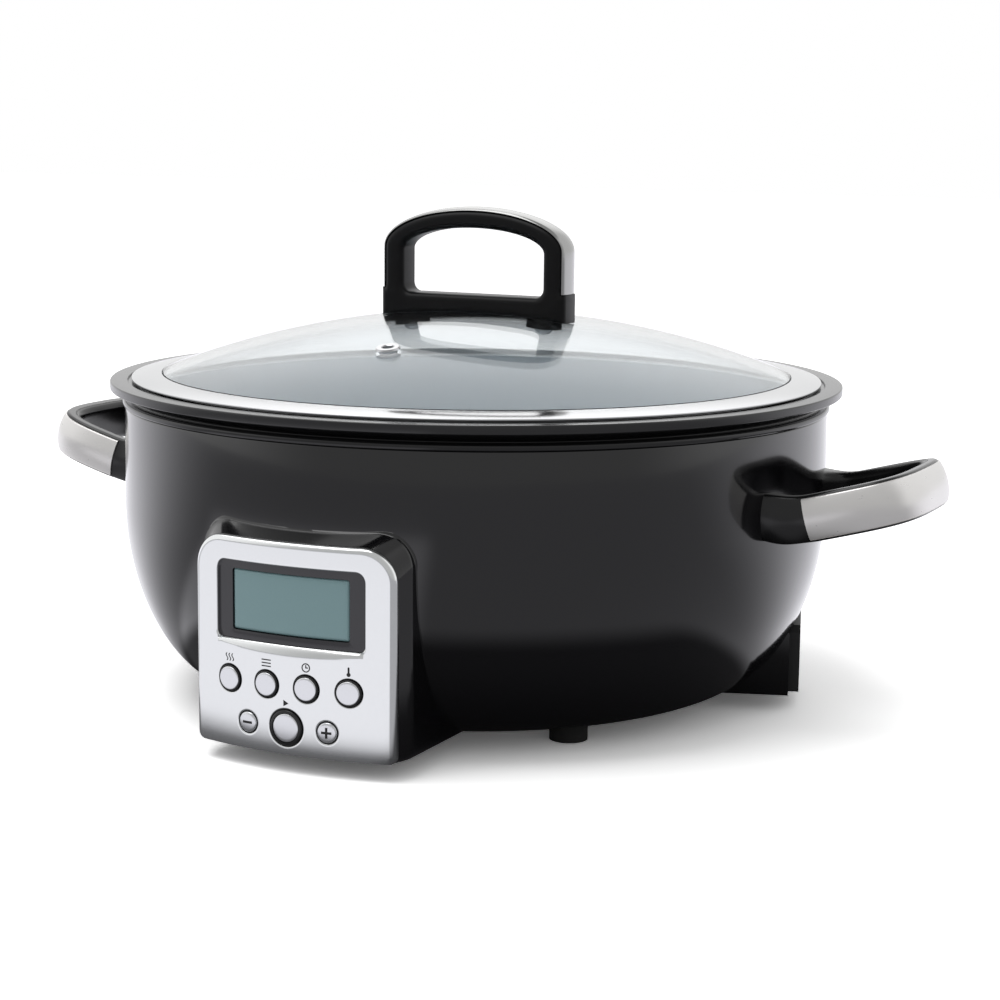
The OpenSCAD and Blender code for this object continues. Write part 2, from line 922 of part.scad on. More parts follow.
module minus_button() {
    color("#d5d6d9")
        push_button(-button_pitch, low_button_z, small_button_r);
}

module plus_button() {
    color("#d5d6d9")
        push_button(button_pitch, low_button_z, small_button_r);
}

module start_button() {
    color("#1a1a1c")
        push_button(0, low_button_z, start_r, start_cap_r + skin_gap);
}

module start_cap() {
    color("#e2e3e6")
        intersection() {
            pin_y(0, low_button_z, face_r - 1.2, face_r + 5, start_cap_r);
            cylinder(r = face_r + button_proud + 0.3, h = 2 * face_top_z, $fn = round_face);
        }
}

// Power inlet

module inlet_housing() {
    block_l = inlet_out + inlet_sink;
    color("#18181a")
        difference() {
            at_inlet()
                translate([base_r - inlet_sink, inlet_half, 0])
                    rotate([90, 0, 0])
                        linear_extrude(2 * inlet_half)
                            polygon([
                                [0, base_z], [block_l, base_z],
                                [block_l, inlet_top_z - inlet_slope],
                                [block_l - inlet_slope, inlet_top_z],
                                [0, inlet_top_z]
                            ]);
            at_inlet()
                translate([base_r - 2 * inlet_sink, -recess_half, inlet_mid_z - recess_h / 2])
                    cube([block_l + 1, 2 * recess_half, recess_h]);
            at_inlet()
                for (side = [-1, 1])
                    translate([inlet_reach - 5, side * pin_x, inlet_mid_z])
                        rotate([0, 90, 0])
                            cylinder(r = pin_r + skin_gap, h = 6);
            housing_form(skin_gap);
        }
}

module inlet_plate() {
    edge = 3;
    x0 = inlet_reach;
    color("#232326")
        difference() {
            at_inlet()
                difference() {
                    translate([x0, 0, base_z])
                        rotate([90, 0, 90])
                            linear_extrude(inlet_plate_t)
                                polygon([
                                    [-inlet_plate_half, 0], [inlet_plate_half, 0],
                                    [inlet_plate_half, inlet_plate_h - edge],
                                    [inlet_plate_half - edge, inlet_plate_h],
                                    [edge - inlet_plate_half, inlet_plate_h],
                                    [-inlet_plate_half, inlet_plate_h - edge]
                                ]);
                    translate([x0 + inlet_plate_t - inlet_recess, -recess_half,
                            inlet_mid_z - recess_h / 2])
                        cube([inlet_recess + 1, 2 * recess_half, recess_h]);
                    for (side = [-1, 1])
                        translate([x0 - 1, side * pin_x, inlet_mid_z])
                            rotate([0, 90, 0])
                                cylinder(r = pin_r + skin_gap, h = inlet_plate_t + 2);
                }
            housing_form(skin_gap);
        }
}

module inlet_pins() {
    color("#c8a24a")
        at_inlet()
            for (side = [-1, 1])
                translate([inlet_reach - 12, side * pin_x, inlet_mid_z])
                    rotate([0, 90, 0])
                        cylinder(r = pin_r, h = 12 + inlet_plate_t - 0.8);
}

module inlet_magnets() {
    magnet_w = 3;
    magnet_h = 11;
    color("#a9abae")
        at_inlet()
            for (side = [-1, 1])
                translate([inlet_reach + inlet_plate_t - inlet_recess,
                        side * magnet_x - magnet_w / 2, inlet_mid_z - magnet_h / 2])
                    cube([2, magnet_w, magnet_h]);
}

// Side handles

// A point of the loop's outer face and its outward direction, at an angle round the loop
function grip_point(a) =
    let (
        u = grip_reach * pow(cos(a), 2 / grip_power_u),
        v = sign(a) * grip_half * pow(abs(sin(a)), 2 / grip_power_v),
        out_u = grip_power_u / grip_reach * pow(u / grip_reach, grip_power_u - 1),
        out_v = sign(a) * grip_power_v / grip_half * pow(abs(v) / grip_half, grip_power_v - 1)
    )
    [[u, v], unit([out_u, out_v])];

// The straight root on one side: points and outward directions from the housing outward
function grip_root(side) =
    [for (u = [-grip_sink, 0, grip_flare_len / 3, grip_flare_len * 2 / 3, grip_flare_len])
        [[u, side * grip_half], [0, side]]];

function reversed(list) = [for (i = [len(list) - 1 : -1 : 0]) list[i]];

// The loop's outer face from the front root to the rear root, with outward directions
grip_line = concat(
    grip_root(-1),
    [for (a = [-84 : 4 : 84]) grip_point(a)],
    reversed(grip_root(1))
);

// The loop's outline, set in from the strip's outer face
function grip_path(inset) = [for (p = grip_line) p[0] - inset * p[1]];

// Turns a loop drawn in its own plane to the housing's side and tilts it up
module at_grip(side) {
    rotate([0, 0, side])
        translate([grip_root_x, 0, grip_z])
            rotate([0, -grip_tilt, 0])
                children();
}

// How much the grip's section grows towards the housing
function grip_grow(u) = 1 + grip_flare * (1 - max(0, min(1, u / grip_flare_len)));

// The grip's rounded section at a point of the loop
function grip_ring(p, sides) =
    let (
        grow = grip_grow(p[0][0]),
        mid = p[0] - (strip_t + grip_w / 2) * p[1]
    )
    [for (k = [0 : sides - 1])
        let (
            c = cos(-360 * (k + 0.5) / sides),
            s = sin(-360 * (k + 0.5) / sides),
            r = c > 0 ? grip_edge : grip_round,
            w = sign(c) * (grip_w * grow / 2 - r) + r * c,
            h = sign(s) * (grip_h * grow / 2 - r) + r * s
        )
        [mid[0] + p[1][0] * w, mid[1] + p[1][1] * w, h]];

module grip_loop() {
    sides = 16;
    polyhedron(
        points = [for (p = grip_line) each grip_ring(p, sides)],
        faces = tube_faces(len(grip_line), sides)
    );
}

// A screw hole from inside the housing into a handle's root
module grip_screw_bore(side, end, r) {
    rotate([0, 0, side + end * grip_screw_angle])
        translate([grip_screw_seat - 2, 0, grip_z])
            rotate([0, 90, 0])
                cylinder(r = r, h = grip_screw_len + 3);
}

module side_handle(side) {
    color("#1c1c1e")
        difference() {
            at_grip(side)
                grip_loop();
            housing_form(skin_gap);
            for (end = [-1, 1])
                grip_screw_bore(side, end, screw_r);
        }
}

module handle_strip(side) {
    color("#cfcdca")
        at_grip(side)
            translate([0, 0, -strip_h / 2])
                linear_extrude(strip_h)
                    difference() {
                        polygon(grip_path(0));
                        polygon(grip_path(strip_t - skin_gap));
                        translate([-2 * grip_reach, -2 * grip_half])
                            square([2 * grip_reach + strip_start, 4 * grip_half]);
                    }
}

module left_handle() {
    side_handle(180);
}

module right_handle() {
    side_handle(0);
}

module left_handle_strip() {
    handle_strip(180);
}

module right_handle_strip() {
    handle_strip(0);
}

module handle_screws() {
    color("#9a9a9e")
        for (side = [0, 180], end = [-1, 1])
            rotate([0, 0, side + end * grip_screw_angle])
                translate([grip_screw_seat - screw_head_h, 0, grip_z])
                    rotate([0, 90, 0]) {
                        cylinder(r = screw_head_r, h = screw_head_h);
                        cylinder(r = screw_r - skin_gap, h = screw_head_h + grip_screw_len);
                    }
}

// Pot

module cooking_pot() {
    in_r = pot_r - pot_wall;
    floor_z = pot_bottom_z + pot_wall + 1;
    in_corner = pot_corner_r - pot_wall;
    under_z = rim_z - pot_rim_t;
    roll = 1.2;
    color("#4a4a4d")
        rotate_extrude()
            polygon(concat(
                [[0, pot_bottom_z]],
                arc(pot_r - pot_corner_r, pot_bottom_z + pot_corner_r,
                    pot_corner_r, pot_corner_r, -90, 0, 16),
                [[pot_r, under_z]],
                arc(pot_rim_r - roll, under_z + roll, roll, roll, -90, 0, 4),
                arc(pot_rim_r - roll, rim_z - roll, roll, roll, 0, 90, 4),
                [
                    [lid_seat_r, rim_z], [lid_seat_r, rim_z - lid_seat_drop],
                    [in_r, rim_z - lid_seat_drop]
                ],
                arc(in_r - in_corner, floor_z + in_corner, in_corner, in_corner, 0, -90, 16),
                [[0, floor_z]]
            ));
}

// Lid

module lid_glass() {
    step_r = band_in_r - 0.3;
    color("#c9d8d4")
        difference() {
            rotate_extrude()
                intersection() {
                    difference() {
                        translate([0, dome_z])
                            circle(r = dome_r, $fn = round_face);
                        translate([0, dome_z])
                            circle(r = dome_r - glass_t, $fn = round_face);
                        difference() {
                            translate([step_r, dome_z])
                                square([glass_r, dome_r + 1]);
                            translate([0, dome_z - glass_recess])
                                circle(r = dome_r, $fn = round_face);
                        }
                    }
                    translate([0, rim_z - 10])
                        square([glass_r, dome_rise + 20]);
                }
            at_knob_screws()
                translate([0, 0, -glass_t - 3])
                    cylinder(r = screw_r + 0.5, h = glass_t + 6);
            at_vent()
                translate([0, 0, -glass_t - 3])
                    cylinder(r = vent_hole_r, h = glass_t + 6);
        }
}

module lid_band() {
    hem = 1;
    lip_z1 = dome_under(glass_r) - 0.3;
    lip_r = glass_r - 4;
    skirt_top = band_edge_z + (band_in_z - band_edge_z)
        * (band_r - band_skirt_r) / (band_r - band_in_r) - band_t;
    color("#d3d3d2")
        rotate_extrude()
            polygon([
                [band_in_r, band_in_z - band_t], [band_in_r, band_in_z],
                [band_r, band_edge_z], [band_r, band_seat_z], [band_r - hem, band_seat_z],
                [band_r - hem, band_edge_z - band_t], [band_skirt_r, skirt_top],
                [band_skirt_r, lip_z1 - band_t], [lip_r, lip_z1 - band_t], [lip_r, lip_z1],
                [band_skirt_r - band_t, lip_z1], [band_skirt_r - band_t, skirt_top + 0.1]
            ]);
}

// Puts a piece on the dome's outer face at each handle screw, along the face's normal
module at_knob_screws() {
    for (side = [-1, 1])
        translate([0, 0, dome_z])
            rotate([0, side * knob_tilt, 0])
                translate([0, 0, dome_r])
                    children();
}

// Puts a piece on the dome's outer face at the vent, along the face's normal
module at_vent() {
    translate([0, 0, dome_z])
        rotate([vent_tilt, 0, 0])
            translate([0, 0, dome_r])
                children();
}

// Stands an X-Z outline up across the lid's middle
module across_lid(depth) {
    translate([0, depth / 2, 0])
        rotate([90, 0, 0])
            linear_extrude(depth)
                children();
}

module lid_handle() {
    arch_half = knob_half - strap_t;
    top_z = rim_z + knob_top;
    hole_top = top_z - knob_bar;
    foot_z = dome_height(knob_half) - 2;
    color("#1a1a1b")
        difference() {
            across_lid(knob_depth)
                difference() {
                    polygon(concat(
                        [
                            [-knob_half, foot_z], [knob_half, foot_z],
                            [knob_half, knob_base_z], [arch_half, knob_base_z]
                        ],
                        arc(0, knob_spring_z, arch_half, top_z - knob_spring_z, 0, 180, 28),
                        [[-arch_half, knob_base_z], [-knob_half, knob_base_z]]
                    ));
                    polygon(concat(
                        arc(knob_fillet - knob_hole_half, knob_hole_z + knob_fillet,
                            knob_fillet, knob_fillet, 180, 270, 6),
                        arc(knob_hole_half - knob_fillet, knob_hole_z + knob_fillet,
                            knob_fillet, knob_fillet, 270, 360, 6),
                        arc(0, knob_spring_z - 1, knob_hole_half, hole_top - knob_spring_z + 1,
                            0, 180, 24)
                    ));
                }
            translate([0, 0, dome_z])
                sphere(r = dome_r + skin_gap, $fn = round_face);
            at_knob_screws()
                translate([0, 0, -glass_t])
                    cylinder(r = screw_r, h = glass_t + knob_screw_grip + 0.5);
        }
}

module lid_handle_strap() {
    arch_half = knob_half - strap_t;
    top_z = rim_z + knob_top;
    color("#d0cecb")
        across_lid(strap_w)
            polygon(concat(
                [[knob_half, knob_base_z]],
                arc(0, knob_spring_z, knob_half, top_z + strap_t - knob_spring_z, 0, 180, 28),
                [[-knob_half, knob_base_z], [-arch_half - skin_gap, knob_base_z]],
                arc(0, knob_spring_z, arch_half + skin_gap, top_z + skin_gap - knob_spring_z,
                    180, 0, 28),
                [[arch_half + skin_gap, knob_base_z]]
            ));
}

module lid_washers() {
    color("#202021")
        at_knob_screws()
            translate([0, 0, -glass_t - skin_gap - washer_t])
                difference() {
                    cylinder(r = washer_r, h = washer_t);
                    translate([0, 0, -1])
                        cylinder(r = screw_r + 0.2, h = washer_t + 2);
                }
}

module lid_screws() {
    z = -glass_t - skin_gap - washer_t;
    color("#c6c7c9")
        at_knob_screws() {
            rotate_extrude()
                polygon(concat([[0, z]], arc(0, z, lid_screw_head_r, lid_screw_head_h, 0, -90, 8)));
            translate([0, 0, z - eps])
                cylinder(r = screw_r - skin_gap, h = knob_screw_grip - z);
        }
}

module vent_grommet() {
    barrel_r = vent_hole_r - 0.15;
    flange_r = 5.4;
    bore_r = 2.4;
    lip = 0.9;
    color("#cfd0d2")
        at_vent()
            rotate_extrude()
                polygon([
                    [bore_r, -glass_t - lip - skin_gap], [flange_r, -glass_t - lip - skin_gap],
                    [flange_r, -glass_t - skin_gap], [barrel_r, -glass_t - skin_gap],
                    [barrel_r, skin_gap], [flange_r, skin_gap],
                    [flange_r - 0.5, lip], [bore_r + 0.5, lip], [bore_r, lip - 0.4]
                ]);
}

housing_shell();
base_cover();
rubber_feet();
base_screws();
top_ring();
heat_liner();
heating_plate();
heating_element();
heater_posts();
heater_screws();
thermal_fuse();
fuse_clip();
sensor_bracket();
sensor_spring();
sensor_cap();
power_board();
power_relay();
transformer();
board_screws();
ribbon_cable();
pod_housing();
control_bezel();
lcd_window();
lcd_module();
control_board();
tact_switches();
bezel_screws();
mode_button();
menu_button();
time_button();
heat_button();
minus_button();
start_button();
start_cap();
plus_button();
inlet_housing();
inlet_plate();
inlet_pins();
inlet_magnets();
left_handle();
right_handle();
left_handle_strip();
right_handle_strip();
handle_screws();
cooking_pot();
lid_glass();
lid_band();
lid_handle();
lid_handle_strap();
lid_washers();
lid_screws();
vent_grommet();
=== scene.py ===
"""Looks of the multicooker: a glossy black base, a silver control pod, trimmed handles and a glass lid."""

import math

import bmesh
import bpy
from mathutils import Matrix, Vector, geometry


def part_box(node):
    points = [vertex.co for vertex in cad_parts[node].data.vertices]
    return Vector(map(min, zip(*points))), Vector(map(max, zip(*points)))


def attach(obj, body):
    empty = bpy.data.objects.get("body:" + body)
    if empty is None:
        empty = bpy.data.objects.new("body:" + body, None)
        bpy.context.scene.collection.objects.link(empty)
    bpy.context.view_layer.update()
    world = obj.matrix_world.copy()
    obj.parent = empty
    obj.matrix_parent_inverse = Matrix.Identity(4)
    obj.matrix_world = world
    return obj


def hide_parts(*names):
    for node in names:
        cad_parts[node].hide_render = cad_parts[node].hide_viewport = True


# One millimetre in the scene's metres; the shapes below are written in mm
MM = 0.001

# Sides of the large turned pieces, and of the round caps with their collars
ROUND_SIDES = 256
CAP_SIDES = 64

# Points of a mesh that lie closer than this are one point, in mm
MERGE = 0.002

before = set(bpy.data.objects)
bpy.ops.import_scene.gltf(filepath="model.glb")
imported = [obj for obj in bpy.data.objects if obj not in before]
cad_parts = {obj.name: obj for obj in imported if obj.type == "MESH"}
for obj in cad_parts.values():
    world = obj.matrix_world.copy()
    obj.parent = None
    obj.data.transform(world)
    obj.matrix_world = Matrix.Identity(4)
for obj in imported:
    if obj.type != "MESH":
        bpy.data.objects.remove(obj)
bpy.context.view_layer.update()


# Outlines and curves

def arc(cx, cy, rx, ry, start, end, steps):
    """Points along an ellipse's arc, angles in degrees."""
    points = []
    for k in range(steps + 1):
        a = math.radians(start + (end - start) * k / steps)
        points.append((cx + rx * math.cos(a), cy + ry * math.sin(a)))
    return points


def rounded(points, radii, steps):
    """A closed outline with round corners, each with its own radius."""
    count = len(points)
    out = []
    for k in range(count):
        here = Vector(points[k])
        back = Vector(points[k - 1]) - here
        ahead = Vector(points[(k + 1) % count]) - here
        half = back.angle(ahead) / 2
        reach = min(radii[k] / math.tan(half), 0.48 * back.length, 0.48 * ahead.length)
        r = reach * math.tan(half)
        if r < 1e-4:
            out.append(tuple(here))
            continue
        middle = here + (back.normalized() + ahead.normalized()).normalized() * (r / math.sin(half))
        first = here + back.normalized() * reach - middle
        last = here + ahead.normalized() * reach - middle
        a0 = math.atan2(first.y, first.x)
        turn = math.atan2(last.y, last.x) - a0
        turn = (turn + math.pi) % (2 * math.pi) - math.pi
        for s in range(steps + 1):
            a = a0 + turn * s / steps
            out.append((middle.x + r * math.cos(a), middle.y + r * math.sin(a)))
    return out


def rounded_panel(half, low, high, upper, lower, steps):
    """A rounded rectangle with its own radius for the upper and the lower corners."""
    corners = [(-half, low), (half, low), (half, high), (-half, high)]
    return rounded(corners, [lower, lower, upper, upper], steps)


def resampled(points, spacing):
    """The same open path with points at an even spacing."""
    lengths = [0.0]
    for a, b in zip(points, points[1:]):
        lengths.append(lengths[-1] + (Vector(b) - Vector(a)).length)
    count = max(2, round(lengths[-1] / spacing))
    out = []
    k = 0
    for s in range(count + 1):
        goal = lengths[-1] * s / count
        while k < len(points) - 2 and lengths[k + 1] < goal:
            k += 1
        span = lengths[k + 1] - lengths[k]
        share = (goal - lengths[k]) / span if span > 0 else 0.0
        out.append(tuple(Vector(points[k]).lerp(Vector(points[k + 1]), share)))
    return out


def dense(loop, spacing):
    """The same closed outline with points at an even spacing along each side."""
    out = []
    for k, a in enumerate(loop):
        b = loop[(k + 1) % len(loop)]
        parts = max(1, round((Vector(b) - Vector(a)).length / spacing))
        out += [tuple(Vector(a).lerp(Vector(b), s / parts)) for s in range(parts)]
    return out


def inset(loop, distance):
    """A closed outline moved inwards by a distance; a negative distance moves it outwards."""
    area = sum(a[0] * b[1] - b[0] * a[1] for a, b in zip(loop, loop[1:] + loop[:1]))
    side = 1 if area > 0 else -1
    out = []
    for k in range(len(loop)):
        here = Vector(loop[k])
        before = (here - Vector(loop[k - 1])).normalized()
        after = (Vector(loop[(k + 1) % len(loop)]) - here).normalized()
        normal = Vector((-before.y - after.y, before.x + after.x)).normalized() * side
        stretch = max(0.4, normal.dot(Vector((-after.y, after.x)) * side))
        out.append(tuple(here + normal * (distance / stretch)))
    return out


def inside(point, loop):
    """Whether a point lies inside a closed outline."""
    x, y = point
    result = False
    for (x0, y0), (x1, y1) in zip(loop, loop[1:] + loop[:1]):
        if (y0 > y) != (y1 > y) and x < x0 + (y - y0) * (x1 - x0) / (y1 - y0):
            result = not result
    return result


def gap_to(point, loop):
    """Distance from a point to a closed outline."""
    best = 1e9
    p = Vector(point)
    for a, b in zip(loop, loop[1:] + loop[:1]):
        a, b = Vector(a), Vector(b)
        along = b - a
        share = max(0.0, min(1.0, (p - a).dot(along) / max(along.length_squared, 1e-12)))
        best = min(best, (p - a - along * share).length)
    return best


def roll(distance, radius):
    """How far a rounded edge has dropped at a distance from the edge's outer line."""
    if distance >= radius:
        return 0.0
    rest = radius - max(distance, 0.0)
    return radius - math.sqrt(radius * radius - rest * rest)


def smooth(low, high, value):
    """A soft step from 0 at low to 1 at high."""
    share = max(0.0, min(1.0, (value - low) / (high - low)))
    return share * share * (3 - 2 * share)


# Materials

COAT_ROUGH = 0.06
NOISE_DETAIL = 3.0
RELIEF_DEPTH = 0.02
LID_IOR = 1.2
KNOB_SPECULAR = 0.18
MATERIALS = {}


def finish(name, colour, metallic=0.0, rough=0.4, vary=0.12, grain=900.0, bump=0.0,
           stretch=(1.0, 1.0, 1.0), tint=0.04, coat=0.0):
    """A material whose colour, roughness and fine relief follow a noise in the object's own space.
    It is kept under its name, and its shader is returned."""
    material = bpy.data.materials.new(name)
    material.use_nodes = True
    nodes = material.node_tree.nodes
    links = material.node_tree.links
    shader = nodes["Principled BSDF"]
    shader.inputs["Metallic"].default_value = metallic
    shader.inputs["Coat Weight"].default_value = coat
    shader.inputs["Coat Roughness"].default_value = COAT_ROUGH
    place = nodes.new("ShaderNodeTexCoord")
    mapping = nodes.new("ShaderNodeMapping")
    mapping.inputs["Scale"].default_value = stretch
    noise = nodes.new("ShaderNodeTexNoise")
    noise.inputs["Scale"].default_value = grain
    noise.inputs["Detail"].default_value = NOISE_DETAIL
    links.new(place.outputs["Object"], mapping.inputs["Vector"])
    links.new(mapping.outputs["Vector"], noise.inputs["Vector"])
    mix = nodes.new("ShaderNodeMix")
    mix.data_type = "RGBA"
    mix.inputs["A"].default_value = (*[c * (1 - tint) for c in colour], 1.0)
    mix.inputs["B"].default_value = (*[c * (1 + tint) for c in colour], 1.0)
    links.new(noise.outputs["Fac"], mix.inputs["Factor"])
    links.new(mix.outputs["Result"], shader.inputs["Base Color"])
    spread = nodes.new("ShaderNodeMapRange")
    spread.inputs["To Min"].default_value = rough * (1 - vary)
    spread.inputs["To Max"].default_value = rough * (1 + vary)
    links.new(noise.outputs["Fac"], spread.inputs["Value"])
    links.new(spread.outputs["Result"], shader.inputs["Roughness"])
    if bump > 0:
        relief = nodes.new("ShaderNodeBump")
        relief.inputs["Strength"].default_value = bump
        relief.inputs["Distance"].default_value = RELIEF_DEPTH * MM
        links.new(noise.outputs["Fac"], relief.inputs["Height"])
        links.new(relief.outputs["Normal"], shader.inputs["Normal"])
    MATERIALS[name] = material
    return shader


def clear_glass(name, colour, rough):
    """Tinted lid glass with a faint ripple."""
    shader = finish(name, colour, rough=rough, vary=0.3, grain=60.0, tint=0.02)
    shader.inputs["Transmission Weight"].default_value = 1.0
    shader.inputs["IOR"].default_value = LID_IOR


finish("housing_black", (0.0032, 0.0030, 0.0040), rough=0.13, grain=140.0, coat=0.5)
finish("base_black", (0.016, 0.016, 0.017), rough=0.5, bump=0.2)
finish("foot_rubber", (0.015, 0.015, 0.015), rough=0.75, bump=0.3)
finish("ring_black", (0.006, 0.006, 0.0065), rough=0.16, grain=300.0)
finish("liner_steel", (0.55, 0.55, 0.56), 1.0, 0.32, stretch=(1, 1, 12))
finish("plate_alloy", (0.6, 0.6, 0.62), 1.0, 0.42, bump=0.2)
finish("element_steel", (0.35, 0.35, 0.36), 1.0, 0.4)
finish("screw_steel", (0.5, 0.5, 0.51), 1.0, 0.3)
finish("ceramic_white", (0.72, 0.7, 0.62), rough=0.45)
finish("board_green", (0.03, 0.16, 0.06), rough=0.4)
finish("relay_blue", (0.03, 0.11, 0.36), rough=0.4)
finish("coil_brown", (0.25, 0.11, 0.03), rough=0.5)
finish("ribbon_grey", (0.45, 0.45, 0.46), rough=0.5)
finish("bezel_silver", (0.845, 0.86, 0.86), 1.0, 0.13, grain=500.0, tint=0.02)
finish("window_smoke", (0.029, 0.028, 0.034), rough=0.2, coat=0.3)
finish("lcd_grey", (0.27, 0.44, 0.465), rough=0.3, grain=2500.0, tint=0.05, coat=0.3)
finish("button_silver", (0.78, 0.79, 0.81), 1.0, 0.2, grain=700.0, tint=0.02)
finish("start_black", (0.012, 0.012, 0.013), rough=0.3)
finish("pin_brass", (0.75, 0.52, 0.2), 1.0, 0.28)
finish("handle_black", (0.0045, 0.0045, 0.005), rough=0.22, grain=1500.0, bump=0.08)
knob_shader = finish("knob_black", (0.0045, 0.0045, 0.005), rough=0.34, grain=1500.0, bump=0.1)
knob_shader.inputs["Specular IOR Level"].default_value = KNOB_SPECULAR
finish("strip_steel", (0.85, 0.835, 0.82), 0.6, 0.28, vary=0.05, grain=120.0,
       stretch=(1, 1, 6), tint=0.015)
finish("strap_steel", (0.37, 0.37, 0.365), 1.0, 0.16, grain=400.0,
       stretch=(1, 6, 1), tint=0.03)
finish("pot_coating", (0.016, 0.016, 0.017), rough=0.2, grain=1200.0, tint=0.1, bump=0.04)
finish("pot_lining", (0.60, 0.64, 0.67), 0.35, 0.22, grain=1800.0, tint=0.08, bump=0.05)
clear_glass("lid_glass_clear", (0.895, 0.92, 0.932), 0.02)
finish("band_steel", (0.54, 0.545, 0.555), 1.0, 0.15, grain=600.0, tint=0.02)
# The skirt's pale colour is a painted highlight for the bright inner edge of the band
finish("seal_pale", (0.84, 0.86, 0.87), rough=0.45, grain=700.0)
# Black for signs and button bodies, also used as painted shade in the gaps round the buttons
finish("mark_black", (0.012, 0.012, 0.013), rough=0.5)


# Pieces

def piece(name, verts, faces, body, finish_name, nodes=(), sharp=38.0):
    """A smooth mesh from points in mm, riding on a body and standing for the given CAD nodes."""
    mesh = bpy.data.meshes.new(name)
    mesh.from_pydata([(x * MM, y * MM, z * MM) for x, y, z in verts], [], faces)
    work = bmesh.new()
    work.from_mesh(mesh)
    bmesh.ops.remove_doubles(work, verts=work.verts, dist=MERGE * MM)
    bmesh.ops.dissolve_degenerate(work, edges=work.edges, dist=MERGE / 2 * MM)
    bmesh.ops.recalc_face_normals(work, faces=work.faces)
    work.to_mesh(mesh)
    work.free()
    mesh.shade_smooth()
    mesh.set_sharp_from_angle(angle=math.radians(sharp))
    mesh.materials.append(MATERIALS[finish_name])
    made = bpy.data.objects.new(name, mesh)
    bpy.context.scene.collection.objects.link(made)
    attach(made, body)
    if nodes:
        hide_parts(*nodes)


def lathe(profile, closed=True):
    """Verts and faces of a profile in r and z turned about the pot axis."""
    steps = ROUND_SIDES
    verts = []
    rows = []
    for r, z in profile:
        if r < 1e-6:
            rows.append([len(verts)] * steps)
            verts.append((0.0, 0.0, z))
            continue
        rows.append(list(range(len(verts), len(verts) + steps)))
        for k in range(steps):
            a = 2 * math.pi * k / steps
            verts.append((r * math.cos(a), r * math.sin(a), z))
    pairs = list(zip(rows, rows[1:]))
    if closed:
        pairs.append((rows[-1], rows[0]))
    faces = []
    for low, high in pairs:
        for k in range(steps):
            j = (k + 1) % steps
            face = list(dict.fromkeys([low[k], low[j], high[j], high[k]]))
            if len(face) > 2:
                faces.append(face)
    return verts, faces


def skin(rings):
    """Verts and faces of a tube through rings of equal length, closed by its two ends."""
    sides = len(rings[0])
    verts = [p for ring in rings for p in ring]
    faces = [list(range(sides))]
    for i in range(len(rings) - 1):
        for k in range(sides):
            j = (k + 1) % sides
            a = i * sides
            faces.append([a + k, a + j, a + sides + j, a + sides + k])
    faces.append(list(range((len(rings) - 1) * sides, len(rings) * sides)))
    return verts, faces


def sheet(loops, extra, front, back):
    """Verts and faces of a solid between two faces over an outline with holes.
    front and back turn a point of the outline's plane into a point in space."""
    flat = [Vector(p) for loop in loops for p in loop]
    edges = []
    start = 0
    for loop in loops:
        edges += [(start + k, start + (k + 1) % len(loop)) for k in range(len(loop))]
        start += len(loop)
    flat += [Vector(p) for p in extra]
    points, _, triangles, _, _, _ = geometry.delaunay_2d_cdt(flat, edges, [], 0, 1e-5)
    kept = []
    for triangle in triangles:
        middle = sum((points[k] for k in triangle), Vector((0.0, 0.0))) / len(triangle)
        if inside(middle, loops[0]) and not any(inside(middle, hole) for hole in loops[1:]):
            kept.append(list(triangle))
    uses = {}
    for triangle in kept:
        for a, b in zip(triangle, triangle[1:] + triangle[:1]):
            uses.setdefault((min(a, b), max(a, b)), []).append((a, b))
    count = len(points)
    verts = [front(*p) for p in points] + [back(*p) for p in points]
    faces = [list(t) for t in kept] + [[k + count for k in reversed(t)] for t in kept]
    for sides in uses.values():
        if len(sides) == 1:
            a, b = sides[0]
            faces.append([b, a, a + count, b + count])
    used = sorted({k for face in faces for k in face})
    place = {k: i for i, k in enumerate(used)}
    return [verts[k] for k in used], [[place[k] for k in face] for face in faces]


def box_mm(node):
    """Lowest and highest corner of a CAD node, in mm."""
    low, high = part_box(node)
    return Vector(low) / MM, Vector(high) / MM


# Housing and trim ring

shell_low, shell_high = box_mm("housing_shell")
HOUSING_R = shell_high.x
BASE_Z = shell_low.z
HOUSING_TOP = shell_high.z
HOUSING_TOP_R = HOUSING_R - 0.5
BASE_R = 109.0
BELLY_Z = 89.3
WALL = 2.5
LEDGE_W = 9.0
BOWL_W = HOUSING_R - BASE_R
BELLY_H = BELLY_Z - BASE_Z
COVER_T = 2.5
COVER_TOP = BASE_Z + COVER_T
TOP_EDGE = 0.9

ledge_angle = math.degrees(math.asin((BELLY_Z - COVER_TOP - WALL) / (BELLY_H - WALL)))
housing_profile = (
    arc(BASE_R, BELLY_Z, BOWL_W, BELLY_H, -90, 0, 44)
    + arc(HOUSING_TOP_R - TOP_EDGE, HOUSING_TOP - TOP_EDGE, TOP_EDGE, TOP_EDGE, 0, 90, 4)
    + [(HOUSING_TOP_R - WALL, HOUSING_TOP)]
    + arc(BASE_R, BELLY_Z, BOWL_W - WALL, BELLY_H - WALL, 0, -ledge_angle, 24)
    + [(BASE_R - LEDGE_W, COVER_TOP + WALL), (BASE_R - LEDGE_W, COVER_TOP), (BASE_R, COVER_TOP)]
)
piece("housing_skin", *lathe(housing_profile), "base", "housing_black", ["housing_shell"])


def shell_r(z):
    """Outer radius of the housing at a height."""
    if z >= BELLY_Z:
        return HOUSING_R
    share = min(1.0, (BELLY_Z - z) / BELLY_H)
    return BASE_R + BOWL_W * math.sqrt(1 - share * share)


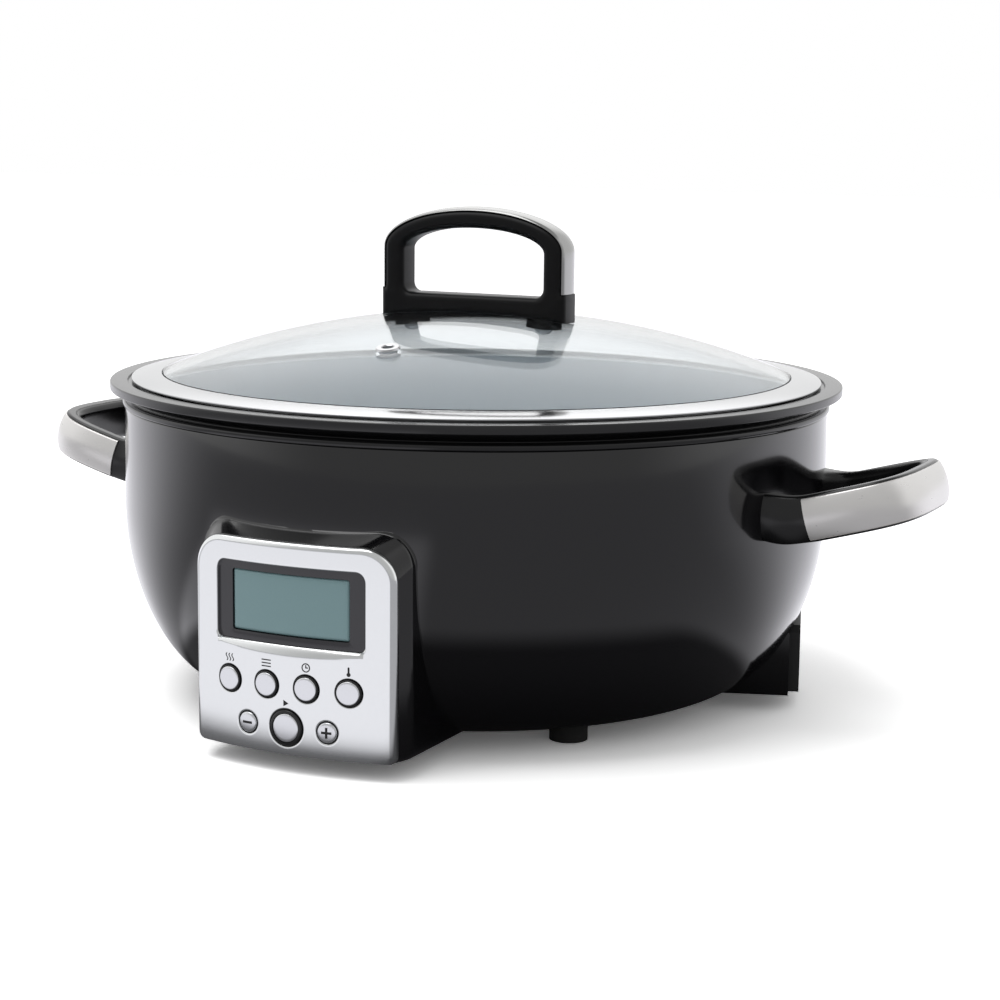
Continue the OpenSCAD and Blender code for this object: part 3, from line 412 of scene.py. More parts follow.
ring_low, ring_high = box_mm("top_ring")
RING_R = ring_high.x
LAND_Z = ring_high.z
LIP_Z = LAND_Z - 4.2
RING_IN = 151.0
RING_LAND = 155.0
RING_UNDERCUT = 6.0
RING_SKIRT_IN = 153.3
RING_SKIRT_OUT = HOUSING_TOP_R - WALL - 0.4
ring_profile = rounded(
    [
        (RING_IN, HOUSING_TOP), (RING_SKIRT_IN, HOUSING_TOP), (RING_SKIRT_IN, ring_low.z),
        (RING_SKIRT_OUT, ring_low.z), (RING_SKIRT_OUT, HOUSING_TOP), (RING_R, HOUSING_TOP),
        (RING_R, LIP_Z), (RING_LAND, LIP_Z), (RING_LAND + RING_UNDERCUT, LAND_Z), (RING_IN, LAND_Z),
    ],
    [0, 0, 0.5, 0.5, 0.2, 0.8, 1.2, 0.4, 0.2, 0.5],
    5,
)
piece("trim_ring", *lathe(ring_profile), "base", "ring_black", ["top_ring"])


# Pot

pot_low, pot_high = box_mm("cooking_pot")
RIM_R = pot_high.x
RIM_Z = pot_high.z
POT_BOTTOM = pot_low.z
RIM_T = 3.8
RIM_ROLL = 0.6
POT_R = 150.0
POT_WALL = 3.0
POT_CORNER = 45.0
FLOOR_T = POT_WALL + 1.0
SEAT_R = 157.0
SEAT_Z = RIM_Z - 0.8
LINING_T = 0.5
LINING_GAP = 0.02
INNER_EDGE = 1.0
SEAT_EDGE = 0.4
pot_in_r = POT_R - POT_WALL
pot_floor = POT_BOTTOM + FLOOR_T
in_corner = POT_CORNER - POT_WALL


def pot_inside(sink):
    """The pot's inner outline from its seat down to the middle of its floor, set into the wall."""
    r = pot_in_r + sink
    return (arc(pot_in_r + INNER_EDGE, SEAT_Z - INNER_EDGE - sink, INNER_EDGE - sink, INNER_EDGE, 90, 180, 4)
            + arc(r - in_corner, pot_floor - sink + in_corner, in_corner, in_corner, 0, -90, 20)
            + [(0.0, pot_floor - sink)])


pot_profile = (
    [(0.0, POT_BOTTOM)]
    + arc(POT_R - POT_CORNER, POT_BOTTOM + POT_CORNER, POT_CORNER, POT_CORNER, -90, 0, 20)
    + [(POT_R, RIM_Z - RIM_T)]
    + arc(RIM_R - RIM_ROLL, RIM_Z - RIM_T + RIM_ROLL, RIM_ROLL, RIM_ROLL, -90, 0, 6)
    + arc(RIM_R - RIM_ROLL, RIM_Z - RIM_ROLL, RIM_ROLL, RIM_ROLL, 0, 90, 6)
    + [(SEAT_R + 0.3, RIM_Z), (SEAT_R, SEAT_Z + SEAT_EDGE), (SEAT_R, SEAT_Z), (pot_in_r + INNER_EDGE, SEAT_Z)]
    + pot_inside(LINING_T + LINING_GAP)
)
piece("pot_skin", *lathe(pot_profile, closed=False), "pot", "pot_coating", ["cooking_pot"])
lining_profile = pot_inside(0.0) + pot_inside(LINING_T)[::-1]
piece("pot_lining", *lathe(lining_profile, closed=False), "pot", "pot_lining")


# Lid glass and band

_, glass_high = box_mm("lid_glass")
DOME_R = 390.95
DOME_Z = glass_high.z - DOME_R
GLASS_T = 4.0
GLASS_R = glass_high.x
GLASS_STEP_R = 141.7
GLASS_STEP = 1.2


def dome_z(radius, r):
    """Height of a sphere about the dome's centre, at a distance r from the axis."""
    return DOME_Z + math.sqrt(radius * radius - r * r)


DOME_STEPS = 48
outer_dome = [(GLASS_STEP_R * k / DOME_STEPS, dome_z(DOME_R, GLASS_STEP_R * k / DOME_STEPS))
              for k in range(DOME_STEPS + 1)]
inner_dome = [(GLASS_R * k / DOME_STEPS, dome_z(DOME_R - GLASS_T, GLASS_R * k / DOME_STEPS))
              for k in range(DOME_STEPS, -1, -1)]
glass_edge = [
    (GLASS_STEP_R, dome_z(DOME_R, GLASS_STEP_R) - GLASS_STEP),
    (GLASS_R, dome_z(DOME_R, GLASS_R) - GLASS_STEP),
]
piece("glass_dome", *lathe(outer_dome + glass_edge + inner_dome, closed=False), "lid", "lid_glass_clear",
      ["lid_glass"])

_, band_high = box_mm("lid_band")
BAND_R = band_high.x
BAND_IN_R = 142.0
BAND_T = 0.9
BAND_WALL_T = 1.0
BAND_WALL_R = BAND_R - 2.6
BAND_EDGE_Z = RIM_Z + 1.2
BAND_SEAT_Z = SEAT_Z + 0.3
BAND_SKIRT_R = pot_in_r - 0.9
BAND_IN_Z = dome_z(DOME_R, BAND_IN_R)
SKIRT_GAP = 0.05
SKIRT_LIP_R = GLASS_R - 4.0
band_lip_z = dome_z(DOME_R - GLASS_T, GLASS_R) - 0.3
band_slope = (BAND_IN_Z - BAND_EDGE_Z) / (BAND_R - BAND_IN_R)
skirt_top = BAND_EDGE_Z + band_slope * (BAND_R - BAND_SKIRT_R) - BAND_T - SKIRT_GAP
band_profile = rounded(
    [
        (BAND_IN_R, BAND_IN_Z - BAND_T), (BAND_IN_R, BAND_IN_Z), (BAND_R, BAND_EDGE_Z),
        (BAND_R, BAND_EDGE_Z - BAND_T), (BAND_WALL_R, BAND_EDGE_Z - BAND_T), (BAND_WALL_R, BAND_SEAT_Z),
        (BAND_WALL_R - BAND_WALL_T, BAND_SEAT_Z), (BAND_WALL_R - BAND_WALL_T, BAND_EDGE_Z - BAND_T),
    ],
    [0.3, 0.35, 0.3, 0.3, 0.2, 0.2, 0.2, 0.2],
    4,
)
skirt_profile = rounded(
    [
        (BAND_SKIRT_R, skirt_top), (BAND_SKIRT_R, band_lip_z - BAND_T),
        (SKIRT_LIP_R, band_lip_z - BAND_T), (SKIRT_LIP_R, band_lip_z),
        (BAND_SKIRT_R - BAND_T, band_lip_z), (BAND_SKIRT_R - BAND_T, skirt_top),
    ],
    [0.1, 0.3, 0.2, 0.2, 0.2, 0.1],
    4,
)
# Pale skirt under the band: its colour is a painted highlight
piece("band_skirt", *lathe(skirt_profile), "lid", "seal_pale")
piece("steel_band", *lathe(band_profile), "lid", "band_steel", ["lid_band"])


# Lid handle

_, knob_high = box_mm("lid_handle")
_, strap_high = box_mm("lid_handle_strap")
KNOB_HALF = knob_high.x
KNOB_DEPTH = knob_high.y
KNOB_TOP = knob_high.z
KNOB_BASE = RIM_Z + 39.5
KNOB_SPRING = RIM_Z + 58.0
KNOB_EDGE = 3.0
STRAP_T = strap_high.z - KNOB_TOP
STRAP_HALF = strap_high.y
KNOB_ARCH = KNOB_HALF - STRAP_T
STRAP_SHOW = 0.6
STRAP_CROWN = 1.1
STRAP_GAP = 0.05
STRAP_EDGE = 0.45
STRAP_STEPS = 8
KNOB_LIP = STRAP_T - STRAP_SHOW - STRAP_CROWN
HOLE_HALF = KNOB_ARCH - 9.0
HOLE_Z = KNOB_BASE - 1.9
HOLE_TOP = KNOB_TOP - 7.5
HOLE_SPRING = KNOB_SPRING - 1.0
HOLE_CORNER = 4.0
FOOT_SINK = 1.4
FOOT_STEPS = 12
foot_line = []
for k in range(-FOOT_STEPS, FOOT_STEPS + 1):
    foot_x = KNOB_HALF * k / FOOT_STEPS
    foot_line.append((foot_x, dome_z(DOME_R - FOOT_SINK, abs(foot_x))))
knob_outline = (
    foot_line
    + [(KNOB_HALF, KNOB_BASE), (KNOB_ARCH + KNOB_LIP, KNOB_BASE)]
    + arc(0, KNOB_SPRING, KNOB_ARCH + KNOB_LIP, KNOB_TOP + KNOB_LIP - KNOB_SPRING, 0, 180, 48)
    + [(-KNOB_ARCH - KNOB_LIP, KNOB_BASE), (-KNOB_HALF, KNOB_BASE)]
)
knob_hole = (
    arc(HOLE_CORNER - HOLE_HALF, HOLE_Z + HOLE_CORNER, HOLE_CORNER, HOLE_CORNER, 180, 270, 8)
    + arc(HOLE_HALF - HOLE_CORNER, HOLE_Z + HOLE_CORNER, HOLE_CORNER, HOLE_CORNER, 270, 360, 8)
    + arc(0, HOLE_SPRING, HOLE_HALF, HOLE_TOP - HOLE_SPRING, 0, 180, 40)
)
knob_outline = dense(knob_outline, 2.0)
knob_hole = dense(knob_hole, 2.0)
edge_rings = [KNOB_EDGE * (1 - math.cos(math.radians(a))) for a in (18, 36, 54, 72, 90)]
knob_rings = []
for d in edge_rings:
    knob_rings += inset(knob_outline, d) + inset(knob_hole, -d)


def knob_side(sign):
    """One side of the lid handle, rounded towards its edges."""
    def place(x, z):
        """A point of the side from a point of the handle's outline."""
        d = min(gap_to((x, z), knob_outline), gap_to((x, z), knob_hole))
        return (x, sign * (KNOB_DEPTH - roll(d, KNOB_EDGE)), z)
    return place


piece("knob", *sheet([knob_outline, knob_hole], knob_rings, knob_side(-1), knob_side(1)), "lid",
      "knob_black", ["lid_handle"], sharp=50.0)


KNOB_SCREW_X = 33.5
GASKET_R = 5.5
GASKET_GAP = 0.05
GASKET_SIDES = 48


def gasket(sign):
    """Rings of a short round seal through the glass below one foot of the lid handle."""
    tilt = math.asin(sign * KNOB_SCREW_X / DOME_R)
    rings = []
    for reach in (DOME_R - GLASS_T + GASKET_GAP, DOME_R - FOOT_SINK):
        ring = []
        for k in range(GASKET_SIDES):
            angle = 2 * math.pi * k / GASKET_SIDES
            across = GASKET_R * math.cos(angle)
            ring.append((reach * math.sin(tilt) + across * math.cos(tilt), GASKET_R * math.sin(angle),
                         DOME_Z + reach * math.cos(tilt) - across * math.sin(tilt)))
        rings.append(ring)
    return rings


piece("left_gasket", *skin(gasket(-1)), "lid", "foot_rubber")
piece("right_gasket", *skin(gasket(1)), "lid", "foot_rubber")


def strap_ring(x, z, nx, nz):
    """The strap's crowned section at a point of the arch, across the handle."""
    section = [(-STRAP_HALF, KNOB_LIP + STRAP_GAP), (STRAP_HALF, KNOB_LIP + STRAP_GAP)]
    for k in range(2 * STRAP_STEPS + 1):
        share = 1 - k / STRAP_STEPS
        edge = roll(STRAP_HALF * (1 - abs(share)), STRAP_EDGE)
        section.append((STRAP_HALF * share, STRAP_T - STRAP_CROWN * share * share - edge))
    return [(x + nx * h, y, z + nz * h) for y, h in section]


LEG_STEPS = 4
ARCH_STEP = 4
leg = KNOB_SPRING - KNOB_BASE
rise = KNOB_TOP - KNOB_SPRING
strap_rings = [strap_ring(KNOB_ARCH, KNOB_BASE + leg * k / LEG_STEPS, 1, 0) for k in range(LEG_STEPS)]
for a in range(0, 181, ARCH_STEP):
    c = math.cos(math.radians(a))
    s = math.sin(math.radians(a))
    normal = Vector((c / KNOB_ARCH, s / rise)).normalized()
    strap_rings.append(strap_ring(KNOB_ARCH * c, KNOB_SPRING + rise * s, normal.x, normal.y))
strap_rings += [strap_ring(-KNOB_ARCH, KNOB_SPRING - leg * k / LEG_STEPS, -1, 0)
                for k in range(1, LEG_STEPS + 1)]
piece("knob_strap", *skin(strap_rings), "lid", "strap_steel", ["lid_handle_strap"])


# Side handles

GRIP_X = HOUSING_R - 1.0
GRIP_Z = 94.4
GRIP_TILT = math.radians(15.2)
GRIP_REACH = 59.55
GRIP_HALF = 42.6
GRIP_POWER_U = 5.0
GRIP_POWER_V = 3.2
GRIP_SINK = 7.0
GRIP_STEPS = 300
GRIP_SPACING = 1.5
GRIP_INNER_EDGE = 3.2
GRIP_OUTER_EDGE = 1.1
STRIP_INNER_EDGE = 0.1
STRIP_OUTER_EDGE = 0.6
ROOT_DEPTH = 1.6
GRIP_W = 9.0
GRIP_H = 19.7
STRIP_H = 17.5
STRIP_T = 2.0
STRIP_START = 14.0
STRIP_PROUD = 0.7
FLARE_START = 13.5
FLARE_END = -2.0
FLARE = 0.3
FLARE_HIGH = 0.1
GRIP_CROWN = 2.2
ROOT_FILLET = 15.0
ROOT_U = -5.0
BEND = 4.5
BEND_END = 18.0


def grip_line(distance):
    """The loop's outline from the front root to the rear root, set in by a distance from the strip's face."""
    line = []
    for k in range(-GRIP_STEPS, GRIP_STEPS + 1):
        a = math.radians(90.0 * k / GRIP_STEPS)
        u = GRIP_REACH * abs(math.cos(a)) ** (2 / GRIP_POWER_U)
        v = GRIP_HALF * abs(math.sin(a)) ** (2 / GRIP_POWER_V)
        line.append((u, math.copysign(v, a)))
    line = [(-GRIP_SINK, -GRIP_HALF)] + line + [(-GRIP_SINK, GRIP_HALF)]
    line = resampled(line, GRIP_SPACING)
    out = []
    for k, p in enumerate(line):
        ahead = Vector(line[min(k + 1, len(line) - 1)])
        behind = Vector(line[max(k - 1, 0)])
        along = (ahead - behind).normalized()
        out.append((p[0] - along.y * distance, p[1] + along.x * distance, along))
    return out


def grip_space(side, u, v, w):
    """A point of the handle's own plane turned to its place on the housing's side."""
    lift = BEND * (max(0.0, BEND_END - u) / (BEND_END - ROOT_U)) ** 2
    x = GRIP_X + u * math.cos(GRIP_TILT) - w * math.sin(GRIP_TILT)
    z = GRIP_Z + u * math.sin(GRIP_TILT) + w * math.cos(GRIP_TILT) + lift
    least = shell_r(z) - ROOT_DEPTH
    if math.hypot(x, v) < least:
        x = math.sqrt(least * least - v * v)
    return (side * x, side * v, z)


def grip_rings(side, middle, section, flared, start):
    """Rings of a section swept round the loop, wider at the housing where it is flared."""
    rings = []
    for u, v, along in grip_line(middle):
        if u < start:
            continue
        near = 1 - smooth(FLARE_END, FLARE_START, u) if flared else 0.0
        ring = []
        fillet = roll(u - ROOT_U, ROOT_FILLET) if flared else 0.0
        for a, b in section:
            crown = GRIP_CROWN * (2 * b / GRIP_H) ** 2
            a *= 1 + FLARE * near
            if a < 0:
                a *= 1 + fillet / (GRIP_W / 2)
            else:
                a -= crown
            ring.append(grip_space(side, u + along.y * a, v - along.x * a, b * (1 + FLARE_HIGH * near)))
        rings.append(ring)
    return rings


def grip_block(wide, high, inner, outer):
    """A rounded section of the loop, with points along its faces that the crown can bend."""
    corners = [(-wide / 2, -high / 2), (wide / 2, -high / 2), (wide / 2, high / 2), (-wide / 2, high / 2)]
    return dense(rounded(corners, [inner, outer, outer, inner], 6), GRIP_SPACING)


grip_section = grip_block(GRIP_W, GRIP_H, GRIP_INNER_EDGE, GRIP_OUTER_EDGE)
strip_section = grip_block(STRIP_T, STRIP_H, STRIP_INNER_EDGE, STRIP_OUTER_EDGE)
for side, word in ((1, "right"), (-1, "left")):
    rings = grip_rings(side, STRIP_PROUD + GRIP_W / 2, grip_section, True, -GRIP_SINK - 1)
    piece(word + "_grip", *skin(rings), "base", "handle_black", [word + "_handle"])
    rings = grip_rings(side, STRIP_T / 2, strip_section, False, STRIP_START)
    piece(word + "_trim", *skin(rings), "base", "strip_steel", [word + "_handle_strip"])


# Control pod

bezel_low, bezel_high = box_mm("control_bezel")
FACE_HALF = bezel_high.x
FACE_Z0 = bezel_low.z
FACE_Z1 = bezel_high.z
FACE_R = -bezel_low.y
FACE_CORNER = 14.0
CHIN_CORNER = 3.5
BEZEL_T = 3.0
EDGE_R = 2.2
CHIN_R = 6.0
CHIN_LEAN = 0.3
WINDOW_HALF = 34.0
WINDOW_Z0 = 52.5
WINDOW_Z1 = 84.5
WINDOW_UPPER_R = 4.0
WINDOW_LOWER_R = 2.5
FACE_SPACING = 1.5
WINDOW_SPACING = 1.2
BUTTON_PITCH = 18.308
BUTTON_Z = 35.9
LOW_BUTTON_Z = 19.0
HOLE_EDGE = 0.4
WINDOW_EDGE = 0.8
SCOOP = 1.5
SCOOP_LEAST = 0.9
SCOOP_MORE = 3.6
BACK_CHIN = 2.0


def face_y(radius, x):
    """Y of the curved control face of a radius, at a side distance x."""
    return -math.sqrt(radius * radius - x * x)


def circle(x, z, r, steps=48):
    """A round outline on the control face."""
    return [(x + r * math.cos(2 * math.pi * k / steps), z + r * math.sin(2 * math.pi * k / steps))
            for k in range(steps)]


UPPER_HOLE = 5.8
LOWER_HOLE = 4.8
START_HOLE = 7.8
upper_x = [(k - 1.5) * BUTTON_PITCH for k in range(4)]
face_loop = dense(rounded_panel(FACE_HALF, FACE_Z0, FACE_Z1, FACE_CORNER, CHIN_CORNER, 14), FACE_SPACING)
window_panel = rounded_panel(WINDOW_HALF, WINDOW_Z0, WINDOW_Z1, WINDOW_UPPER_R, WINDOW_LOWER_R, 8)
window_loop = dense(window_panel, WINDOW_SPACING)
holes = [(x, BUTTON_Z, UPPER_HOLE) for x in upper_x]
holes += [(-BUTTON_PITCH, LOW_BUTTON_Z, LOWER_HOLE), (BUTTON_PITCH, LOW_BUTTON_Z, LOWER_HOLE),
          (0.0, LOW_BUTTON_Z, START_HOLE)]
hole_loops = [circle(*hole) for hole in holes]


def scoop(x, z):
    """Depth of the shallow curved lip below the display window."""
    share = 1 - (x / WINDOW_HALF) ** 2
    if share <= 0 or z > WINDOW_Z0 + 0.01:
        return 0.0
    reach = SCOOP_LEAST + SCOOP_MORE * share
    t = (z - (WINDOW_Z0 - reach)) / reach
    return SCOOP * t * t if t > 0 else 0.0


def chin(z):
    """How far the control face leans back near its lower edge."""
    return CHIN_LEAN * roll(z - FACE_Z0, CHIN_R) / CHIN_R


def bezel_depth(x, z):
    """How far the bezel's front lies behind its plain curved face."""
    depth = roll(gap_to((x, z), face_loop), EDGE_R)
    depth += chin(z)
    depth += roll(gap_to((x, z), window_loop), WINDOW_EDGE)
    depth += scoop(x, z)
    for hx, hz, r in holes:
        depth += roll(math.hypot(x - hx, z - hz) - r, HOLE_EDGE)
    return depth


def bezel_front(x, z):
    """A point of the bezel's front."""
    return (x, face_y(FACE_R, x) + min(bezel_depth(x, z), 2 * BEZEL_T), z)


def bezel_back(x, z):
    """A point of the bezel's back."""
    return (x, face_y(FACE_R - BEZEL_T, x) + chin(z) + roll(z - FACE_Z0, BACK_CHIN), z)


# The bezel's grid of points keeps these distances from its edge, its window and its holes
GRID = 1.6
EDGE_MARGIN = 3.2
WINDOW_MARGIN = 2.0
HOLE_MARGIN = 1.4


def clear_of_edges(p):
    """Whether a point lies on the bezel's plain face, away from its edge, its window and its holes."""
    if not inside(p, face_loop) or gap_to(p, face_loop) < EDGE_MARGIN:
        return False
    if inside(p, window_loop) or gap_to(p, window_loop) < WINDOW_MARGIN:
        return False
    return all(math.hypot(p[0] - hx, p[1] - hz) >= r + HOLE_MARGIN for hx, hz, r in holes)


bezel_points = []
for d in (0.04, 0.18, 0.4, 0.7, 1.0, 1.4, 1.8, 2.2, 2.7):
    bezel_points += inset(face_loop, d)
for d in (0.08, 0.3, 0.8, 1.6):
    bezel_points += inset(window_loop, -d)
for hx, hz, r in holes:
    for d in (0.06, 0.2, 0.5, 1.0):
        bezel_points += circle(hx, hz, r + d)
for i in range(int(2 * FACE_HALF / GRID)):
    for j in range(int((FACE_Z1 - FACE_Z0) / GRID)):
        p = (i * GRID - FACE_HALF + GRID / 2, FACE_Z0 + GRID / 2 + j * GRID)
        if clear_of_edges(p):
            bezel_points.append(p)
piece("bezel_skin", *sheet([face_loop, window_loop] + hole_loops, bezel_points, bezel_front, bezel_back),
      "base", "bezel_silver", ["control_bezel"], sharp=42.0)

# Display: a smoked mask with an opening, and the display's own pillowed face in it

MASK_R = FACE_R - 1.6
MASK_T = 1.6
LCD_HALF = 27.0
LCD_Z0 = 55.9
LCD_Z1 = 81.1
LCD_SINK = 0.5
LCD_EDGE = 1.5
LCD_T = 2.5
LCD_CORNER = 1.2
MASK_EDGE = 0.3
MASK_GAP = 0.06
mask_loop = inset(window_loop, MASK_GAP)
lcd_loop = dense(rounded_panel(LCD_HALF, LCD_Z0, LCD_Z1, LCD_CORNER, LCD_CORNER, 6), WINDOW_SPACING)
mask_points = []
for i in range(-17, 18):
    for z in (WINDOW_Z0 + 1.7, WINDOW_Z1 - 1.7):
        mask_points.append((1.9 * i, z))


def mask_front(x, z):
    """A point of the mask's face, rounded towards its opening."""
    return (x, face_y(MASK_R, x) + roll(gap_to((x, z), lcd_loop), MASK_EDGE), z)


def mask_back(x, z):
    """A point of the mask's back."""
    return (x, face_y(MASK_R - MASK_T, x), z)


piece("display_mask", *sheet([mask_loop, lcd_loop], mask_points, mask_front, mask_back),
      "base", "window_smoke", ["lcd_window"])
lcd_face = inset(lcd_loop, 2 * MASK_GAP)
lcd_points = [(2.0 * i, LCD_Z0 + 2.1 * k) for i in range(-12, 13) for k in range(1, 12)]
for d in (0.04, 0.15, 0.4, 0.8, 1.5):
    lcd_points += inset(lcd_face, d)


def lcd_front(x, z):
    """The display's face, rounded towards its edges."""
    return (x, face_y(MASK_R - LCD_SINK, x) + roll(gap_to((x, z), lcd_face), LCD_EDGE), z)


def lcd_back(x, z):
    """A point of the display's back."""
    return (x, face_y(MASK_R - LCD_SINK - LCD_T, x), z)


piece("display_face", *sheet([lcd_face], lcd_points, lcd_front, lcd_back), "base", "lcd_grey", ["lcd_module"])


# Buttons

CAP_DEPTH = 3.6


def cap_rings(x, z, r, proud, edge, hollow=0.0, dome=0.25):
    """Verts and faces of a round cap that follows the control face; hollow leaves a ring."""
    rows = [hollow] if hollow > 0 else []
    steps = [k / 6 for k in range(1, 6)] if hollow <= 0 else []
    rows += [max(hollow, (r - edge) * s) for s in steps]
    rows += [r - edge + edge * math.sin(math.radians(a)) for a in (0, 22, 45, 67, 90)]
    sides = CAP_SIDES
    verts = []
    if hollow <= 0:
        verts.append((x, face_y(FACE_R + proud + dome, x), z))
    for row in rows:
        fall = roll(r - row, edge) + dome * (row / r) ** 2 - dome
        for k in range(sides):
            a = 2 * math.pi * k / sides
            px = x + row * math.cos(a)
            verts.append((px, face_y(FACE_R + proud, px) + fall, z + row * math.sin(a)))
    back = face_y(FACE_R, x) + CAP_DEPTH
    for row in [r] + ([hollow] if hollow > 0 else []):
        for k in range(sides):
            a = 2 * math.pi * k / sides
            verts.append((x + row * math.cos(a), back, z + row * math.sin(a)))
    first = 0 if hollow > 0 else 1
    faces = []
    if hollow <= 0:
        faces += [[0, 1 + k, 1 + (k + 1) % sides] for k in range(sides)]
    total = len(rows) + (2 if hollow > 0 else 1)
    for row in range(total - 1):
        for k in range(sides):
            j = (k + 1) % sides
            a = first + row * sides
            faces.append([a + k, a + j, a + sides + j, a + sides + k])
    if hollow > 0:
        last = (total - 1) * sides
        faces += [[last + k, last + (k + 1) % sides, (k + 1) % sides, k] for k in range(sides)]
    else:
        faces.append([first + (total - 1) * sides + k for k in range(sides)])
    return verts, faces


UPPER_BODY = 5.4
UPPER_CAP = 4.95
LOWER_CAP = 4.2
START_RING = 7.3
START_CAP = 6.0
for x, name in zip(upper_x, ("mode_button", "menu_button", "time_button", "heat_button")):
    body_rings = cap_rings(x, BUTTON_Z, UPPER_BODY, proud=0.75, edge=0.3, hollow=UPPER_CAP + 0.05)
    piece(name + "_body", *body_rings, name, "mark_black", [name])
    rings = cap_rings(x, BUTTON_Z, UPPER_CAP, proud=0.95, edge=0.6, dome=0.12)
    piece(name + "_cap", *rings, name, "button_silver")
for x, name in ((-BUTTON_PITCH, "minus_button"), (BUTTON_PITCH, "plus_button")):
    rings = cap_rings(x, LOW_BUTTON_Z, LOWER_CAP, proud=0.3, edge=0.6, dome=0.3)
    piece(name + "_cap", *rings, name, "button_silver", [name])
ring_rings = cap_rings(0.0, LOW_BUTTON_Z, START_RING, proud=0.5, edge=0.6, hollow=START_CAP + 0.1)
piece("start_ring", *ring_rings, "start_button", "start_black", ["start_button"])
disc_rings = cap_rings(0.0, LOW_BUTTON_Z, START_CAP, proud=0.6, edge=0.7, dome=0.15)
piece("start_disc", *disc_rings, "start_button", "button_silver", ["start_cap"])


SIGN_SPACING = 0.4
SIGN_FRONT = 0.05
SIGN_BACK = -0.15


def mark(name, body, loops, proud=0.0):
    """A thin dark sign that lies on the control face, or proud of it on a cap."""
    def front(x, z):
        """A point of the sign's face."""
        return (x, face_y(FACE_R + proud + SIGN_FRONT, x), z)

    def back(x, z):
        """A point of the sign's back, just below the surface it lies on."""
        return (x, face_y(FACE_R + proud + SIGN_BACK, x), z)

    outline = [dense(loop, SIGN_SPACING) for loop in loops]
    piece(name, *sheet(outline, [], front, back), body, "mark_black")


def bar(x, z, half_x, half_z):
    """A rectangle's outline about a point."""
    corners = ((-half_x, -half_z), (half_x, -half_z), (half_x, half_z), (-half_x, half_z))
    return [(x + across, z + up) for across, up in corners]


SIGN = 2.2
STROKE = 0.5
SIGN_PROUD = 0.6
mark("minus_sign", "minus_button", [bar(-BUTTON_PITCH, LOW_BUTTON_Z, SIGN, STROKE)], SIGN_PROUD)
plus_outline = [
    (-SIGN, -STROKE), (-STROKE, -STROKE), (-STROKE, -SIGN),
    (STROKE, -SIGN), (STROKE, -STROKE), (SIGN, -STROKE),
    (SIGN, STROKE), (STROKE, STROKE), (STROKE, SIGN),
    (-STROKE, SIGN), (-STROKE, STROKE), (-SIGN, STROKE),
]
plus_sign = [(BUTTON_PITCH + across, LOW_BUTTON_Z + up) for across, up in plus_outline]
mark("plus_sign", "plus_button", [plus_sign], SIGN_PROUD)

# Plain signs printed over the buttons: steam, a list, a clock, a thermometer and a start arrow

MARK_Z = 44.6
START_MARK_Z = 29.1
LINE = 0.24
WAVE = 0.45
WAVE_RISE = 0.32
WAVE_GAP = 1.5
LIST_HALF = 2.2
LIST_GAP = 1.3
CLOCK_R = 1.9
LONG_HAND = 1.15
SHORT_HAND = 0.95
BULB_R = 0.85
BULB_DROP = 1.15
STEM_R = 0.4
STEM_RISE = 1.5
ARROW = 1.3
ARROW_BACK = -1.1


def steam(x, z):
    """A short upright wave."""
    path = [(x + WAVE * math.sin(math.radians(36 * k)), z + WAVE_RISE * (k - 5)) for k in range(11)]
    return [(px - LINE, pz) for px, pz in path] + [(px + LINE, pz) for px, pz in reversed(path)]


clock_x = upper_x[2]
heat_x = upper_x[3]
for k in (-1, 0, 1):
    mark("steam_mark_%d" % (k + 2), "base", [steam(upper_x[0] + WAVE_GAP * k, MARK_Z)])
    mark("list_mark_%d" % (k + 2), "base", [bar(upper_x[1], MARK_Z + LIST_GAP * k, LIST_HALF, LINE)])
clock_rings = [circle(clock_x, MARK_Z, CLOCK_R, 40), circle(clock_x, MARK_Z, CLOCK_R - 2 * LINE, 40)]
mark("clock_ring", "base", clock_rings)
hands = [
    (-LINE, -LINE), (SHORT_HAND, -LINE), (SHORT_HAND, LINE),
    (LINE, LINE), (LINE, LONG_HAND), (-LINE, LONG_HAND),
]
mark("clock_hands", "base", [[(clock_x + across, MARK_Z + up) for across, up in hands]])
bulb = arc(heat_x, MARK_Z - BULB_DROP, BULB_R, BULB_R, 118, 422, 24)
stem_end = arc(heat_x, MARK_Z + STEM_RISE, STEM_R, STEM_R, 0, 180, 8)
mark("heat_mark", "base", [bulb + stem_end])
arrow = [(ARROW_BACK, START_MARK_Z - ARROW), (ARROW, START_MARK_Z), (ARROW_BACK, START_MARK_Z + ARROW)]
mark("start_mark", "base", [arrow])

# Black collars that fill the gap round each cap, below the bezel's face: painted shade that stands in for the
# dark gap

SHADE_COLLAR_GAP = 0.06
SHADE_COLLAR_TOP = 0.9
SHADE_COLLAR_BOTTOM = 3.4
HOLE_GAP = 0.02
shade_collar_verts = []
shade_collar_faces = []
for (hx, hz, r), cap in zip(holes, [UPPER_BODY] * 4 + [LOWER_CAP] * 2 + [START_RING]):
    sides = CAP_SIDES
    start = len(shade_collar_verts)
    outer = r - HOLE_GAP
    inner = cap + SHADE_COLLAR_GAP
    section = ((outer, SHADE_COLLAR_TOP), (inner, SHADE_COLLAR_TOP), (inner, SHADE_COLLAR_BOTTOM), (outer, SHADE_COLLAR_BOTTOM))
    for radius, depth in section:
        for k in range(sides):
            a = 2 * math.pi * k / sides
            px = hx + radius * math.cos(a)
            shade_collar_verts.append((px, face_y(FACE_R, px) + depth, hz + radius * math.sin(a)))
    for row in range(4):
        for k in range(sides):
            j = (k + 1) % sides
            a = start + row * sides
            b = start + (row + 1) % 4 * sides
            shade_collar_faces.append([a + k, a + j, b + j, b + k])
# The collars' black is painted shade in the gaps round the caps
piece("button_gap_shade", shade_collar_verts, shade_collar_faces, "base", "mark_black")


# Pod body: lofted from the bezel's back to the housing, with a small fillet where it meets it

